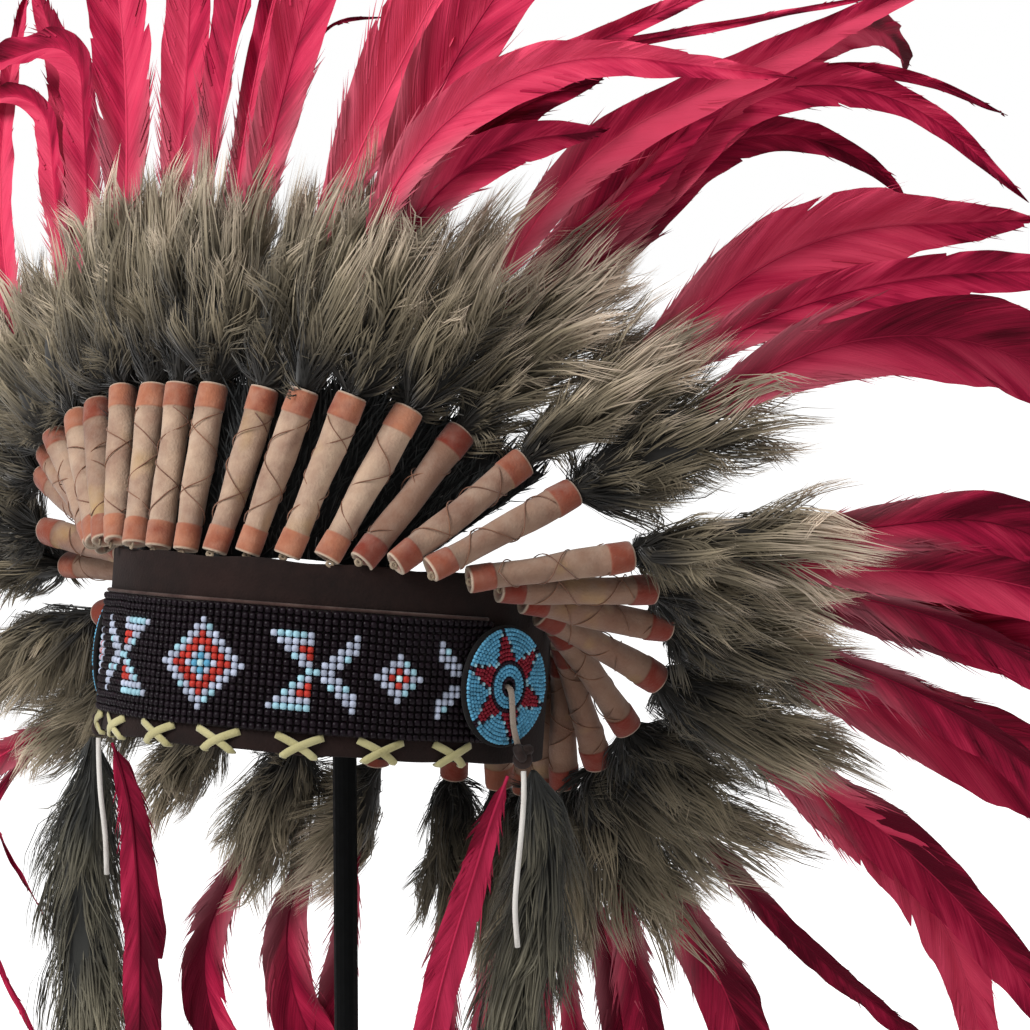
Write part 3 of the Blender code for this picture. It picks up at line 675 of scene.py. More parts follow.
@dataclass(frozen=True)
class WrapSuede:
    """Beige suede of the quill wraps, with a rust band at both ends and painted shade on the bodies of the
    redder-ended wraps.

    It reads the attributes lengthwise and tone, and one for the redness of the end bands that also sets the
    painted shade of the body.
    """

    name: str = "wrap_suede"
    beige: str = "b99d86"
    pink: str = "8a6a5a"
    shade_colour: str = "765444"
    # the colour of the painted shade on the wraps' bodies
    stain: str = "b08e50"
    rust: str = "b27659"
    red: str = "742c20"
    cream: str = "c9b9a3"
    dust: str = "b5a99a"
    band: float = .158  # share of the wrap's length
    band_fade: float = .01

    def material(self) -> Material:
        """Return the finish as a material."""
        coat = Coat(self.name, .92, .15, .2)
        redness = coat.read("redness")
        shift = coat.sum("SUBTRACT", coat.read("tone"), .45)
        hide = {"Light": self.beige, "Dark": self.pink, "Scale": 70, "Shift": shift}
        # painted shade: the body darkens towards the shade colour where the end bands are redder
        shade_share = coat.spread(redness, .3, .9, 0, .8)
        shaded = coat.mix(shade_share, coat.group(MOTTLE, hide)[0], self.shade_colour)
        spots = coat.noise(38)
        stained = coat.mix(coat.spread(spots, .58, .72, 0, .5), shaded, self.stain)
        ends = {"Light": self.rust, "Dark": self.red, "Scale": 60, "Shift": .25}
        redder = coat.mix(redness, coat.group(MOTTLE, ends)[0], self.red)
        off_middle = coat.sum("ABSOLUTE", coat.sum("SUBTRACT", coat.read("lengthwise"), .5))
        from_end = coat.sum("SUBTRACT", .5, off_middle)
        ragged = coat.sum("MULTIPLY_ADD", spots, .02, from_end)
        in_band = coat.spread(ragged, self.band, self.band + self.band_fade, 1, 0)
        rimmed = coat.spread(from_end, .004, .016, .8, 0)
        coat.dust(coat.mix(rimmed, coat.mix(in_band, stained, redder), self.cream), self.dust, .25)
        coat.bump(coat.group(GRAIN, {"Scale": 1100, "Patch Scale": 110})["Height"], .0003)
        return coat.material


@dataclass(frozen=True)
class Hair:
    """Fur, coloured along each hair."""

    name: str
    root: str
    middle: str
    tip: str
    tip_start: float = .55

    def material(self) -> Material:
        """Return the finish as a material."""
        coat = Coat(self.name, .75, .15, .3)
        colours = {"Root": self.root, "Middle": self.middle, "Tip": self.tip}
        coat.feed("Base Color", coat.group(HAIR, {**colours, "Tip Start": self.tip_start})[0])
        return coat.material


@dataclass(frozen=True)
class DyedFeather:
    """Dyed barbs: streaks across the vane, a darker shaft, deep and bright patches of dye, and painted light
    and shade.

    It reads the attributes reach, along the shaft; share, that over the vane's length; barb, -1 to 1 across
    the vane; and tone.
    """

    name: str = "dyed_feather"
    bright: str = "de4766"
    middle: str = "b41c44"
    deep: str = "58031c"
    down: str = "b8707a"
    downiness: float = .6
    level: float = -1.42  # brings the sum of the lights to about zero

    def streaks(self, coat: Coat, spacing: dict[str, float], detail: float, **more: float) -> Socket:
        """Return noise drawn out along the barbs, so many waves along reach, barb and tone."""
        parts = [coat.sum("MULTIPLY", coat.read(name), rate) for name, rate in spacing.items()]
        return coat.noise(1, detail, coat.node("CombineXYZ", dict(enumerate(parts))).outputs[0], **more)

    def material(self) -> Material:
        """Return the finish as a material."""
        coat = Coat(self.name, .55, .08)
        fine = self.streaks(coat, {"reach": 620, "barb": .9, "tone": 37}, 3, Roughness=.65)
        folds = self.streaks(coat, {"reach": 55, "barb": .7, "tone": 51}, 2)
        light = coat.sum("ADD", coat.sum("MULTIPLY", fine, .5), coat.sum("MULTIPLY", folds, 1))
        light = coat.sum("ADD", light, coat.sum("MULTIPLY", coat.noise(16), .5))
        # painted light and shade: the vane lighter where it faces up and darker where it faces down
        light = coat.sum("ADD", light, coat.spread(coat.upward, -.6, .9, -.22, .3))
        share, barb, tone = coat.read("share"), coat.read("barb"), coat.read("tone")
        light = coat.sum("SUBTRACT", light, coat.spread(share, .7, 1, 0, .35))
        light = coat.sum("ADD", light, coat.sum("MULTIPLY_ADD", tone, .9, self.level))
        # painted light and shade: one half of each vane lighter than the other, the side set by the feather's
        # tone
        either = coat.sum("SINE", coat.sum("MULTIPLY", tone, 61))
        half_vane_light = coat.sum("MULTIPLY", coat.spread(barb, -.08, .08, -.2, .2), either)
        light = coat.sum("ADD", light, half_vane_light)
        low = coat.mix(coat.spread(light, -.35, .1), self.deep, self.middle)
        dyed = coat.mix(coat.spread(light, 0, .55), low, self.bright)
        off_shaft = coat.sum("ABSOLUTE", barb)
        rooted = coat.spread(share, .12, .27, self.downiness, 0)
        downy = coat.sum("MULTIPLY", rooted, coat.spread(off_shaft, .2, .95, .25, 1))
        near_shaft = coat.spread(off_shaft, 0, .08, .3, 0)
        coat.feed("Base Color", coat.mix(near_shaft, coat.mix(downy, dyed, self.down), self.deep))
        coat.bump(fine, .0006, .8)
        return coat.material


@dataclass(frozen=True)
class SatinPaint:
    """Black satin paint with faint orange peel and dust."""

    name: str = "satin_paint"
    dark: str = "020303"
    light: str = "040405"
    dust: str = "55565a"

    def material(self) -> Material:
        """Return the finish as a material."""
        coat = Coat(self.name, .5, .08)
        peel = coat.noise(420)
        dye = coat.group(MOTTLE, {"Light": self.light, "Dark": self.dark, "Scale": 30})
        coat.dust(dye[0], self.dust, .03)
        coat.feed("Roughness", coat.spread(peel, .3, .7, .45, .6))
        coat.bump(peel, .00006)
        return coat.material



# ---- headband and beads


@dataclass(frozen=True)
class HeadOval:
    """The oval of the headband's outer face."""

    half_width: float
    half_depth: float = 93 * MM

    def turns(self, along: Array) -> Array:
        """Return the oval's angle at places round it.

        Args:
            along: Distances round it from the front centre.

        Returns:
            One angle for each.
        """
        steps = np.linspace(0, math.pi, 721)
        sides = np.hypot(np.diff(self.half_width * np.sin(steps)), np.diff(self.half_depth * np.cos(steps)))
        arcs = np.concatenate(([0], np.cumsum(sides)))
        return np.copysign(np.interp(np.abs(along), arcs, steps), along)

    def outward(self, along: Array) -> Array:
        """Return the way out of the oval, level in the headdress's frame.

        Args:
            along: Distances round it from the front centre.

        Returns:
            One direction a row.
        """
        turn = self.turns(np.atleast_1d(along))
        away = (self.half_depth * np.sin(turn), -self.half_width * np.cos(turn), np.zeros_like(turn))
        return unit(np.stack(away, axis=-1))

    def rim(self, along: Array, outset: Array | float, rise: Array | float) -> Array:
        """Return points on the stand.

        Args:
            along: Distances round the band from the front centre.
            outset: How far out from its outer face.
            rise: How far over its middle.

        Returns:
            One point a row.
        """
        along = np.atleast_1d(np.asarray(along, float))
        turn = self.turns(along)
        rises = np.broadcast_to(rise, along.shape)
        base = np.stack((self.half_width * np.sin(turn), -self.half_depth * np.cos(turn), rises), axis=-1)
        return to_stand(base + self.outward(along) * np.broadcast_to(outset, along.shape)[:, None])


@dataclass
class Headband:
    """The suede band, its piping and the lacing along its lower edge."""

    oval: HeadOval
    top: float = 41.2 * MM
    bottom: float = -31.5 * MM
    wall: float = 2.3 * MM
    segments: int = 256
    rings: int = 14
    waviness: float = .55 * MM
    edge_roll: float = .8 * MM
    piping_radius: float = .75 * MM
    piping_rise: float = 24.4 * MM
    piping_reach: float = 116 * MM
    lace_top: float = -24.4 * MM
    lace_drop: float = 8 * MM
    lace_half_span: float = 9 * MM
    lace_width: float = 3.1 * MM
    lace_thickness: float = .8 * MM
    lace_section: Outline = ((1, -.5), (.92, .3), (0, .62), (-.92, .3), (-1, -.5))
    lace_places: tuple[float, ...] = (-112, -80, -51, -20, 9, 41, 72, 103)  # mm from the front centre

    def raise_wall(self) -> Mesh:
        """Return the oval raised into a band."""
        bm = bmesh.new()
        base = bmesh.ops.create_circle(bm, segments=self.segments, radius=1)["verts"]
        bmesh.ops.scale(bm, vec=(self.oval.half_width, self.oval.half_depth, 1), verts=base)
        bmesh.ops.translate(bm, vec=(0, 0, self.bottom), verts=base)
        edges = bm.edges[:]
        for _ in range(self.rings):
            edges = raise_rim(bm, edges, (self.top - self.bottom) / self.rings)
        return bm

    def soften(self, bm: Mesh) -> None:
        """Give the band the soft waves of suede, stronger at its edges.

        Args:
            bm: The band's wall.
        """
        phases = seeded(0).uniform(0, FULL_TURN, 6)
        for vert in bm.verts:
            turn = math.atan2(vert.co.x, -vert.co.y)
            height = (vert.co.z - self.bottom) / (self.top - self.bottom)
            wave = math.sin(9 * turn + phases[0]) + .6 * math.sin(17 * turn + 5 * height + phases[1])
            wave += .4 * math.sin(31 * turn + 9 * height + phases[2])
            near_edge = abs(2 * height - 1) ** 3
            away = Vector((vert.co.x, vert.co.y, 0)).normalized()
            vert.co += away * (self.waviness * wave * .35 * (.3 + near_edge) - .15 * MM)
            vert.co.z += .5 * MM * near_edge * math.sin(13 * turn + phases[3]) * (1 if height > .5 else .6)

    def build_band(self) -> None:
        """Raise, soften and dress the band."""
        bm = self.raise_wall()
        self.soften(bm)
        bmesh.ops.recalc_face_normals(bm, faces=bm.faces)
        sample = bm.faces[0]
        if sample.normal.dot(Vector((*sample.calc_center_median().xy, 0))) < 0:
            bmesh.ops.reverse_faces(bm, faces=bm.faces)
        stood = Matrix.Translation(BAND_CENTRE) @ Matrix.Rotation(-PITCH_BACK, 4, "X")
        bmesh.ops.transform(bm, matrix=stood, verts=bm.verts)
        suede = Nap("band_suede", "21120f", "130b09", relief=.0003, sheen=.03, dust=.06, dust_colour="50403a")
        band = finished(mesh_of(bm, "band_suede"), "band_suede", suede.material(), ["headband"])
        wall = band.modifiers.new("wall", "SOLIDIFY")
        wall.thickness, wall.offset = self.wall, -1
        soft = band.modifiers.new("soft_edges", "BEVEL")
        soft.width, soft.segments = self.edge_roll, 2
        soft.limit_method, soft.angle_limit = "ANGLE", math.radians(50)

    def build_piping(self) -> None:
        """Lay the thin rolled edge along the top of the beadwork."""
        bundle = Bundle()
        along = np.linspace(-self.piping_reach, self.piping_reach, 121)
        bundle.tube(self.oval.rim(along, self.piping_radius, self.piping_rise), self.piping_radius, 8)
        suede = Nap("piping_suede", "46302b", "2a1b18", relief=.0002, sheen=.1)
        bundle.build("band_piping", suede.material(), "suede")

    def build_lacing(self) -> None:
        """Cross two flat thongs at each place along the lower edge, tucked under it."""
        bundle = Bundle()
        t = np.linspace(0, 1, 12)
        for number, place in enumerate(np.array(self.lace_places) * MM):
            for sign in (-1, 1):
                along = place + sign * self.lace_half_span * (1 - 2 * t) * (1 - .35 * t)
                out = (.5 + 1.15 * np.sin(math.pi * np.clip(t * 1.05, 0, 1))) * MM
                if sign > 0:  # the upper one humps over the other
                    out = out + .55 * MM * np.sin(math.pi * t)
                line = self.oval.rim(along, out, self.lace_top - self.lace_drop * t)
                under = self.oval.rim(along[-1:], -1.6 * MM, -32.9 * MM)
                line = smooth_line(np.concatenate((line[::2], line[-1:], under)), 1.6 * MM)
                self.add_thong(bundle, line, .3 + .4 * ((number * 5 + sign) % 4) / 3)
        leather = Nap(
            "lacing_leather", "b9b182", "8f8657", .7, grain=1400, relief=.00012, dust=.2, dust_colour="8d8358"
        )
        bundle.build("edge_lacing", leather.material(), "thong_leather")

    def add_thong(self, bundle: Bundle, line: Array, tone: float) -> None:
        """Add one flat thong that lies on the band's face.

        Args:
            bundle: Where it goes.
            line: The middle of its back.
            tone: How light it is.
        """
        way = unit(np.gradient(line, axis=0))
        level = unit(line * (1, 1, 0) - BAND_CENTRE * (1, 1, 0))
        face = unit(level - way * np.sum(level * way, axis=1, keepdims=True))
        wide, thick = np.cross(way, face) * self.lace_width / 2, face * self.lace_thickness
        corners = [line + wide * across + thick * through for across, through in self.lace_section]
        bundle.lay(pipe_pattern(len(line), len(corners)), np.stack(corners, axis=1), tone=tone)

    def build(self) -> None:
        """Build every part of the band."""
        self.build_band()
        self.build_piping()
        self.build_lacing()


class BeadColour(Enum):
    """Colours of the seed beads, by their letter in a chart."""

    GROUND = (".", "130810")
    WHITE = ("W", "aeb5c8")
    PALE_BLUE = ("B", "9cc6d4")
    RED = ("R", "b5352b")
    BLUE = ("b", "5a9fc0")
    LIGHT = ("c", "c4e6ea")
    SKY = ("s", "5fa3c4")
    STAR_RED = ("r", "8a2030")
    DARK = ("d", "23121f")

    @classmethod
    def of(cls, letter: str) -> Colour:
        """Return the linear colour of a chart's letter."""
        return linear(next(item.value[1] for item in cls if item.value[0] == letter))


STAR = """
......W......
.....WWB.....
....WWRWW....
...BWRRRWW...
..BWRRWRRWW..
.WWRRWbWRRWW.
WWRRWbcbWRRWW
.WWRRWbWRRWW.
..WWRRWRRWW..
...BWRRRWW...
....WWRWB....
.....WWB.....
......W......
"""
ARROW = """
WBBBBW.....W
.WWWWW....WW
..WWRR...WWW
...BWR..WWB.
....WW.WWW..
.....BBWW...
....BW.WWW..
...BWR..BWB.
..BWRR...WWW
.WWWWW....WW
WBBBBB.....W
"""
DIAMOND = "...W... ..WWB.. .WWRWB. WWRcRWW .WWRWB. ..WWB.. ...W..."
EDGE = "W... WB.. WWW. .WWW ..WW .... ..WW .WWW WWW. WB.. W..."
# the figures in the beadwork, each with its first column right of the middle; they repeat to the left
MOTIFS = ((-6, STAR), (10, ARROW), (24, DIAMOND), (33, EDGE))


def bead_mesh(size: Sequence[float]) -> Solid:
    """Return one bead: a ball pressed to a size, squarer seen from above.

    Args:
        size: Its width, its height and how far it stands out of the work.

    Returns:
        Its vertices and its grouped faces.
    """
    bm = bmesh.new()
    bmesh.ops.create_uvsphere(bm, u_segments=8, v_segments=4, radius=.5)
    for vert in bm.verts:
        flat = math.hypot(vert.co.x, vert.co.y)
        if flat > 1e-6:
            squarer = (max(abs(vert.co.x), abs(vert.co.y)) / flat) ** -.45
            vert.co.x *= squarer
            vert.co.y *= squarer
    bmesh.ops.scale(bm, vec=size, verts=bm.verts)
    return arrays_of(bm)


@dataclass
class BeadStrip:
    """The woven strip of beads across the front of the band."""

    oval: HeadOval
    rows: int = 17
    last_column: int = 41
    row_height: float = 2.76 * MM
    column_width: float = 2.85 * MM
    bead_size: Triple = (2.8 * MM, 2.74 * MM, 2.1 * MM)
    outset: float = 1.55 * MM
    slip: float = .06 * MM
    lean: float = .05
    size_spread: float = .025
    sag: float = .35 * MM
    ground_back: float = .3 * MM
    ground_front: float = .9 * MM

    def chart(self) -> Array:
        """Return the letter of each bead, rows from the top by columns from the wearer's right."""
        letters = np.full((self.rows, 2 * self.last_column + 1), ".")
        for first_column, chart in MOTIFS:
            rows = chart.split()
            top = (self.rows - len(rows)) // 2
            for r, row in enumerate(rows):
                for column, letter in enumerate(row, start=first_column):
                    if letter != "." and column <= self.last_column:
                        letters[top + r, self.last_column + column] = letter
                        if first_column > 0:
                            letters[top + r, self.last_column - column] = letter
        return letters

    def build_beads(self) -> None:
        """String the beads."""
        rng = seeded(1)
        columns = np.arange(-self.last_column, self.last_column + 1)
        rises = (np.arange(self.rows)[::-1] - (self.rows - 1) / 2) * self.row_height
        grid_along, grid_rise = (grid.ravel() for grid in np.meshgrid(columns * self.column_width, rises))
        count = grid_along.size
        along = grid_along + rng.normal(0, self.slip, count)
        rise = grid_rise + rng.normal(0, self.slip, count)
        rise = rise + self.sag * ripple(grid_along, 90 * MM, rng)
        places = self.oval.rim(along, self.outset + rng.normal(0, .05 * MM, count), rise)
        out = unit(self.oval.outward(along) + rng.normal(0, self.lean, (count, 3)))
        right = unit(np.cross(np.broadcast_to((0, 0, 1), out.shape), out))
        axes = np.stack((right, np.cross(out, right), out), axis=1) @ TILT.T
        axes = axes * rng.normal(1, self.size_spread, (count, 1, 1))
        tints = np.array([BeadColour.of(letter) for letter in self.chart().ravel()])
        tints[:, :3] *= rng.uniform(.82, 1.12, (count, 1))
        bundle = Bundle()
        bundle.copies(bead_mesh(self.bead_size), places, axes, tint=tints)
        bundle.build("bead_strip_beads", SeedBeads("strip_beads").material(), "beads", "bead_strip")

    def build_ground(self) -> None:
        """Lay the dark cloth under the beads."""
        half = self.rows * self.row_height / 2
        reach = (self.last_column + .5) * self.column_width
        along = np.linspace(-reach, reach, 101)
        back, front = self.ground_back, self.ground_front
        sections = ((back, half), (front, half), (front, -half), (back, -half))
        table = np.stack([self.oval.rim(along, out, rise) for out, rise in sections], axis=1)
        bundle = Bundle()
        bundle.lay(pipe_pattern(len(along), len(sections)), table)
        cloth = Nap("strip_cloth", "17100f", "0d0809", grain=1600, sheen=.1, dust=.05)
        bundle.build("bead_strip_ground", cloth.material(), "beads")

    def build(self) -> None:
        """Build the beads and the cloth behind them."""
        self.build_beads()
        self.build_ground()


class Side(Enum):
    """A side of the headdress, by the wearer."""

    LEFT = 1
    RIGHT = -1

    @property
    def word(self) -> str:
        """Return the side's name as the nodes have it."""
        return self.name.lower()


@dataclass
class Rosette:
    """A felt disc covered with rings of beads in a six-pointed star."""

    oval: HeadOval
    side: Side
    along: float = 124 * MM
    rise: float = -1 * MM
    standoff: float = 3.3 * MM
    turn: float = 3
    felt_radius: float = 23.8 * MM
    felt_thickness: float = 2.2 * MM
    hole: float = 1.6 * MM
    first_ring: float = 3.1 * MM
    ring_gap: float = 1.57 * MM
    rings: int = 13
    bead_size: Triple = (1.62 * MM, 1.62 * MM, 1.5 * MM)
    inner_disc: float = 9.6 * MM
    star_reach: float = 22.4 * MM
    arm_foot: float = 5 * MM
    star_turn: float = 42

    @property
    def dome(self) -> float:
        """Return how far the middle of the beading stands out."""
        return 1.2 * MM if self.side is Side.LEFT else .4 * MM

    def axes(self) -> tuple[Array, Array]:
        """Return the middle of the disc's back on the stand, and its right, up and out as rows."""
        sign = self.side.value
        along = np.array([sign * self.along])
        away = turned(self.oval.outward(along)[0], (0, 0, 1), -sign * self.turn)
        up = np.array((0, 0, 1))
        centre = self.oval.rim(along, self.standoff, self.rise)[0]
        return centre, np.stack((np.cross(up, away), up, away)) @ TILT.T

    def letter(self, radius: float, degrees: float) -> str:
        """Return the bead colour at a place on the disc.

        Args:
            radius: How far it is from the middle.
            degrees: Its direction.

        Returns:
            The colour's letter.
        """
        ring = round((radius - self.first_ring) / self.ring_gap)
        if radius < self.inner_disc - .6 * MM:
            return "d" if ring == 0 else "Bsbs"[ring % 4]
        if radius < self.inner_disc + .9 * MM:
            return "d"
        share = (radius - self.inner_disc) / (self.star_reach - self.inner_disc)
        off_arm = abs((degrees - self.star_turn + 30) % 60 - 30)
        aside = off_arm - math.degrees(self.arm_foot * max(1 - share, 0) / radius)
        if aside < 0:
            return "d" if share > .82 else "r"
        return "dB"[ring % 2] if aside < math.degrees(MM / radius) and share < 1 else "s"

    def build_beads(self) -> None:
        """Sew the beads on the felt, ring by ring."""
        rng = seeded(2 + self.side.value)
        centre, axes = self.axes()
        places, frames, tints = [], [], []
        for ring in range(self.rings):
            radius = self.first_ring + ring * self.ring_gap
            height = self.felt_thickness + .05 * MM + self.dome * (1 - (radius / self.felt_radius) ** 2)
            count = round(FULL_TURN * radius / (self.bead_size[0] * .97))
            offset = rng.uniform(0, 360)
            for degrees in offset + 360 * np.arange(count) / count:
                c, s = math.cos(math.radians(degrees)), math.sin(math.radians(degrees))
                local = np.array((radius * c, radius * s, height)) + rng.normal(0, .05 * MM, 3)
                places.append(centre + local @ axes)
                frames.append(np.array(((-s, c, 0), (-c, -s, 0), (0, 0, 1))) @ axes)
                shade = rng.uniform(.8, 1.15)
                tints.append(BeadColour.of(self.letter(radius, degrees)) * np.array((shade, shade, shade, 1)))
        bundle = Bundle()
        bundle.copies(bead_mesh(self.bead_size), np.array(places), np.array(frames), tint=np.array(tints))
        word = self.side.word
        beads = SeedBeads(f"rosette_beads_{word}").material()
        bundle.build(f"rosette_{word}_beads", beads, "rosette_beads", f"rosette_{word}")

    def build_felt(self) -> None:
        """Cut the felt disc, with a soft edge and a hole for the strap."""
        thick, rim, word = self.felt_thickness, self.felt_radius, self.side.word
        outline = (
            (self.hole, .2 * MM), (self.hole, thick), (rim - .7 * MM, thick), (rim, thick * .6),
            (rim - .2 * MM, .1 * MM), (rim - .8 * MM, 0),
        )
        points, faces = spun(outline, 72, closed=True)
        centre, axes = self.axes()
        bundle = Bundle()
        bundle.add(centre + points @ axes, faces)
        felt = Nap(f"rosette_felt_{word}", "120f10", "080707", grain=700, relief=.0004, sheen=.03, dust=.04)
        bundle.build(f"rosette_{word}_felt", felt.material(), "rosette_beads")

    def build(self) -> None:
        """Build the beads and the felt."""
        self.build_beads()
        self.build_felt()


# ---- quills


# how the plumes run past their wraps, those between follow their neighbours: shaft, length in mm, where the
# bend starts and ends as fractions of the length, and the way that it ends in: side, back and up
PLUME_STATIONS = (
    (-16, 290, .3, 1, 25, 30, -92), (-15, 290, .3, 1, -10, 26, -96), (-14, 280, .3, 1, -51, 43, -75),
    (-13, 290, .25, .7, 45, 14, -88), (-12, 300, .3, 1, -61, 32, -72),
    (-10, 300, .3, 1, -76, 35, -56), (-8, 300, .3, 1, -90, 35, -25), (-7, 290, .3, 1, -55, 23, 80),
    (-6, 290, .35, .6, -95, 15, -28), (-5, 290, .45, .75, -91, 16, -38),
    (-4, 290, .3, 1, -10, 25, 96), (-3, 290, .3, 1, 5, 25, 97), (-2, 300, .3, 1, 0, 30, 95),
    (-1, 300, .3, 1, 15, 30, 94), (0, 290, .1, 1, 41, 38, 83), (1, 300, .1, 1, 64, 47, 61),
    (2, 300, .35, .7, 84, 49, -22), (3, 300, .2, 1, 91, 38, 16), (4, 320, .45, 1, 60, 41, -69),
    (5, 300, .3, 1, 85, 45, -28), (6, 310, .38, 1, 45, 57, -69), (7, 300, .3, 1, 45, 52, -72),
    (8, 290, .1, 1, 50, 52, -70), (9, 290, .1, 1, 45, 48, -75), (10, 295, .3, 1, 10, 16, -98),
    (11, 300, .2, 1, 60, 50, -62), (12, 280, .1, 1, 20, 35, -91), (13, 280, .3, 1, 20, 30, -93),
    (14, 286, .3, 1, 15, 33, -93), (15, 286, .3, 1, 0, 31, -95), (16, 286, .3, 1, 0, 31, -95),
    (17, 286, .3, 1, 0, 31, -95),
)
PATH_STEPS = 48
SHAFTS = range(-16, 18)
PLUME_GROUPS = (
    (-1, 1), (2, 4), (5, 6), (7, 9), (10, 12), (13, 17), (-16, -14), (-13, -12), (-11, -9), (-8, -5), (-4, -2)
)


@dataclass
class Line:
    """A curved line in space with a sideways direction carried along it."""

    points: Array
    across: Array

    @classmethod
    def bent(
        cls, start: Array, way: Array, last_way: Array, length: float, bend: Sequence[float], across: Array
    ) -> "Line":
        """Return a line that leaves in one direction and turns to another.

        Args:
            start: Its first point.
            way: Its first direction.
            last_way: Its last direction.
            length: Its length.
            bend: Where it bends from and to, as fractions of the length.
            across: The sideways direction at its start.

        Returns:
            The line.
        """
        way, last_way = unit(way), unit(last_way)
        angle = max(math.acos(float(np.clip(way @ last_way, -1, 1))), 1e-6)
        middles = (np.arange(PATH_STEPS) + .5) / PATH_STEPS
        share = np.clip((middles - bend[0]) / (bend[1] - bend[0]), 0, 1)[:, None]
        headings = (np.sin((1 - share) * angle) * way + np.sin(share * angle) * last_way) / math.sin(angle)
        steps = np.concatenate((np.zeros((1, 3)), np.cumsum(headings, axis=0)))
        return cls.carried(start + steps * length / PATH_STEPS, across)

    @classmethod
    def carried(cls, points: Array, across: Array) -> "Line":
        """Return a line whose sideways direction is carried along it without twist.

        Args:
            points: The points that it passes.
            across: The sideways direction at its start.

        Returns:
            The line.
        """
        sides = np.empty_like(points)
        for i, way in enumerate(unit(np.gradient(points, axis=0))):
            across = unit(across - way * (across @ way))
            sides[i] = across
        return cls(points, sides)

    @cached_property
    def length(self) -> float:
        """Return the line's length."""
        return line_length(self.points)

    def read(self, rows: Array, distance: Array) -> Array:
        """Return rows of values along the line, read at distances from its start."""
        place = np.clip(distance / self.length, 0, 1) * (len(rows) - 1)
        return np.stack([np.interp(place, np.arange(len(rows)), rows[:, k]) for k in range(3)], axis=-1)

    def at(self, distance: Array) -> Array:
        """Return points along the line, which goes on straight past its ends.

        Args:
            distance: Distances from its start.

        Returns:
            The points.
        """
        past = np.maximum(distance - self.length, 0)[..., None] * unit(self.points[-1] - self.points[-2])
        short = np.minimum(distance, 0)[..., None] * unit(self.points[1] - self.points[0])
        return self.read(self.points, distance) + past + short

    def frame(self, distance: Array, turn: Array | float = 0) -> tuple[Array, Array]:
        """Return the sideways direction and the direction through, at distances.

        Args:
            distance: Distances from the line's start.
            turn: How far the two are turned round the line, in radians.

        Returns:
            Both directions.
        """
        heading = unit(self.read(np.gradient(self.points, axis=0), distance))
        side = self.read(self.across, distance)
        side = unit(side - heading * np.sum(side * heading, axis=-1, keepdims=True))
        through = np.cross(heading, side)
        turn = np.asarray(turn)[..., None]
        return side * np.cos(turn) + through * np.sin(turn), through * np.cos(turn) - side * np.sin(turn)


@dataclass
class Quill:
    """One quill: the wrap round its foot and the line of its plume."""

    shaft: int
    foot: Array
    head: Array
    line: Line
    room: float  # spacing of the plumes at the middle of the tuft
    end_way: Array
    bend: Pair

    @property
    def lean(self) -> Array:
        """Return the way that the wrap points."""
        return unit(self.head - self.foot)


def wrap_node(shaft: int) -> str:
    """Return the name of a shaft's CAD wrap."""
    return f"quill_wrap_{shaft % len(SHAFTS) + 1:02d}"


def wrap_ends(shaft: int) -> tuple[Array, Array]:
    """Return both ends of a shaft's CAD wrap, which is thinner at its foot.

    Args:
        shaft: The shaft.

    Returns:
        The middles of its foot and of its head.
    """
    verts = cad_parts[wrap_node(shaft)].data.vertices
    points = np.unique(np.round(np.array([vert.co for vert in verts]), 6), axis=0)
    off_middle = points - points.mean(axis=0)
    height = off_middle @ np.linalg.svd(off_middle)[2][0]
    ends = [points[height < 0], points[height > 0]]
    ends.sort(key=lambda ring: np.linalg.norm(ring - ring.mean(axis=0), axis=1).mean())
    return ends[0].mean(axis=0), ends[1].mean(axis=0)


class QuillRing:
    """All the quills of the headdress, in order round the band."""

    tuft_middle: float = 55 * MM

    def __init__(self) -> None:
        """Read the wraps from the frame and lay the line of every plume."""
        ends = {shaft: wrap_ends(shaft) for shaft in SHAFTS}
        middles = {shaft: head + self.tuft_middle * unit(head - foot) for shaft, (foot, head) in ends.items()}
        table = np.array(PLUME_STATIONS)
        self.quills: dict[int, Quill] = {}
        for shaft, (foot, head) in ends.items():
            length, *bend_and_way = [np.interp(shaft, table[:, 0], table[:, k]) for k in range(1, 7)]
            bend, way = tuple(bend_and_way[:2]), TILT @ unit(np.array(bend_and_way[2:]))
            across = middles[self.beside(shaft, 1)] - middles[self.beside(shaft, -1)]
            line = Line.bent(head, unit(head - foot), way, length * MM, bend, across)
            room = float(np.linalg.norm(across)) / 2
            self.quills[shaft] = Quill(shaft, foot, head, line, room, way, bend)

    @staticmethod
    def beside(shaft: int, step: int) -> int:
        """Return the shaft so many places further round the ring."""
        return (shaft + step - SHAFTS[0]) % len(SHAFTS) + SHAFTS[0]

    def build_groups(
        self, name: str, material: Material, slot: str, grow: Callable[[Bundle, Quill], None]
    ) -> None:
        """Build one piece for each plume group.

        Args:
            name: The first part of each piece's name.
            material: Their finish.
            slot: Not used.
            grow: What adds one quill's geometry to a bundle.
        """
        for number, (first, last) in enumerate(PLUME_GROUPS, start=1):
            bundle = Bundle()
            for shaft in range(first, last + 1):
                grow(bundle, self.quills[shaft])
            bundle.build(f"{name}_{number:02d}", material, slot, f"plume_group_{number:02d}")


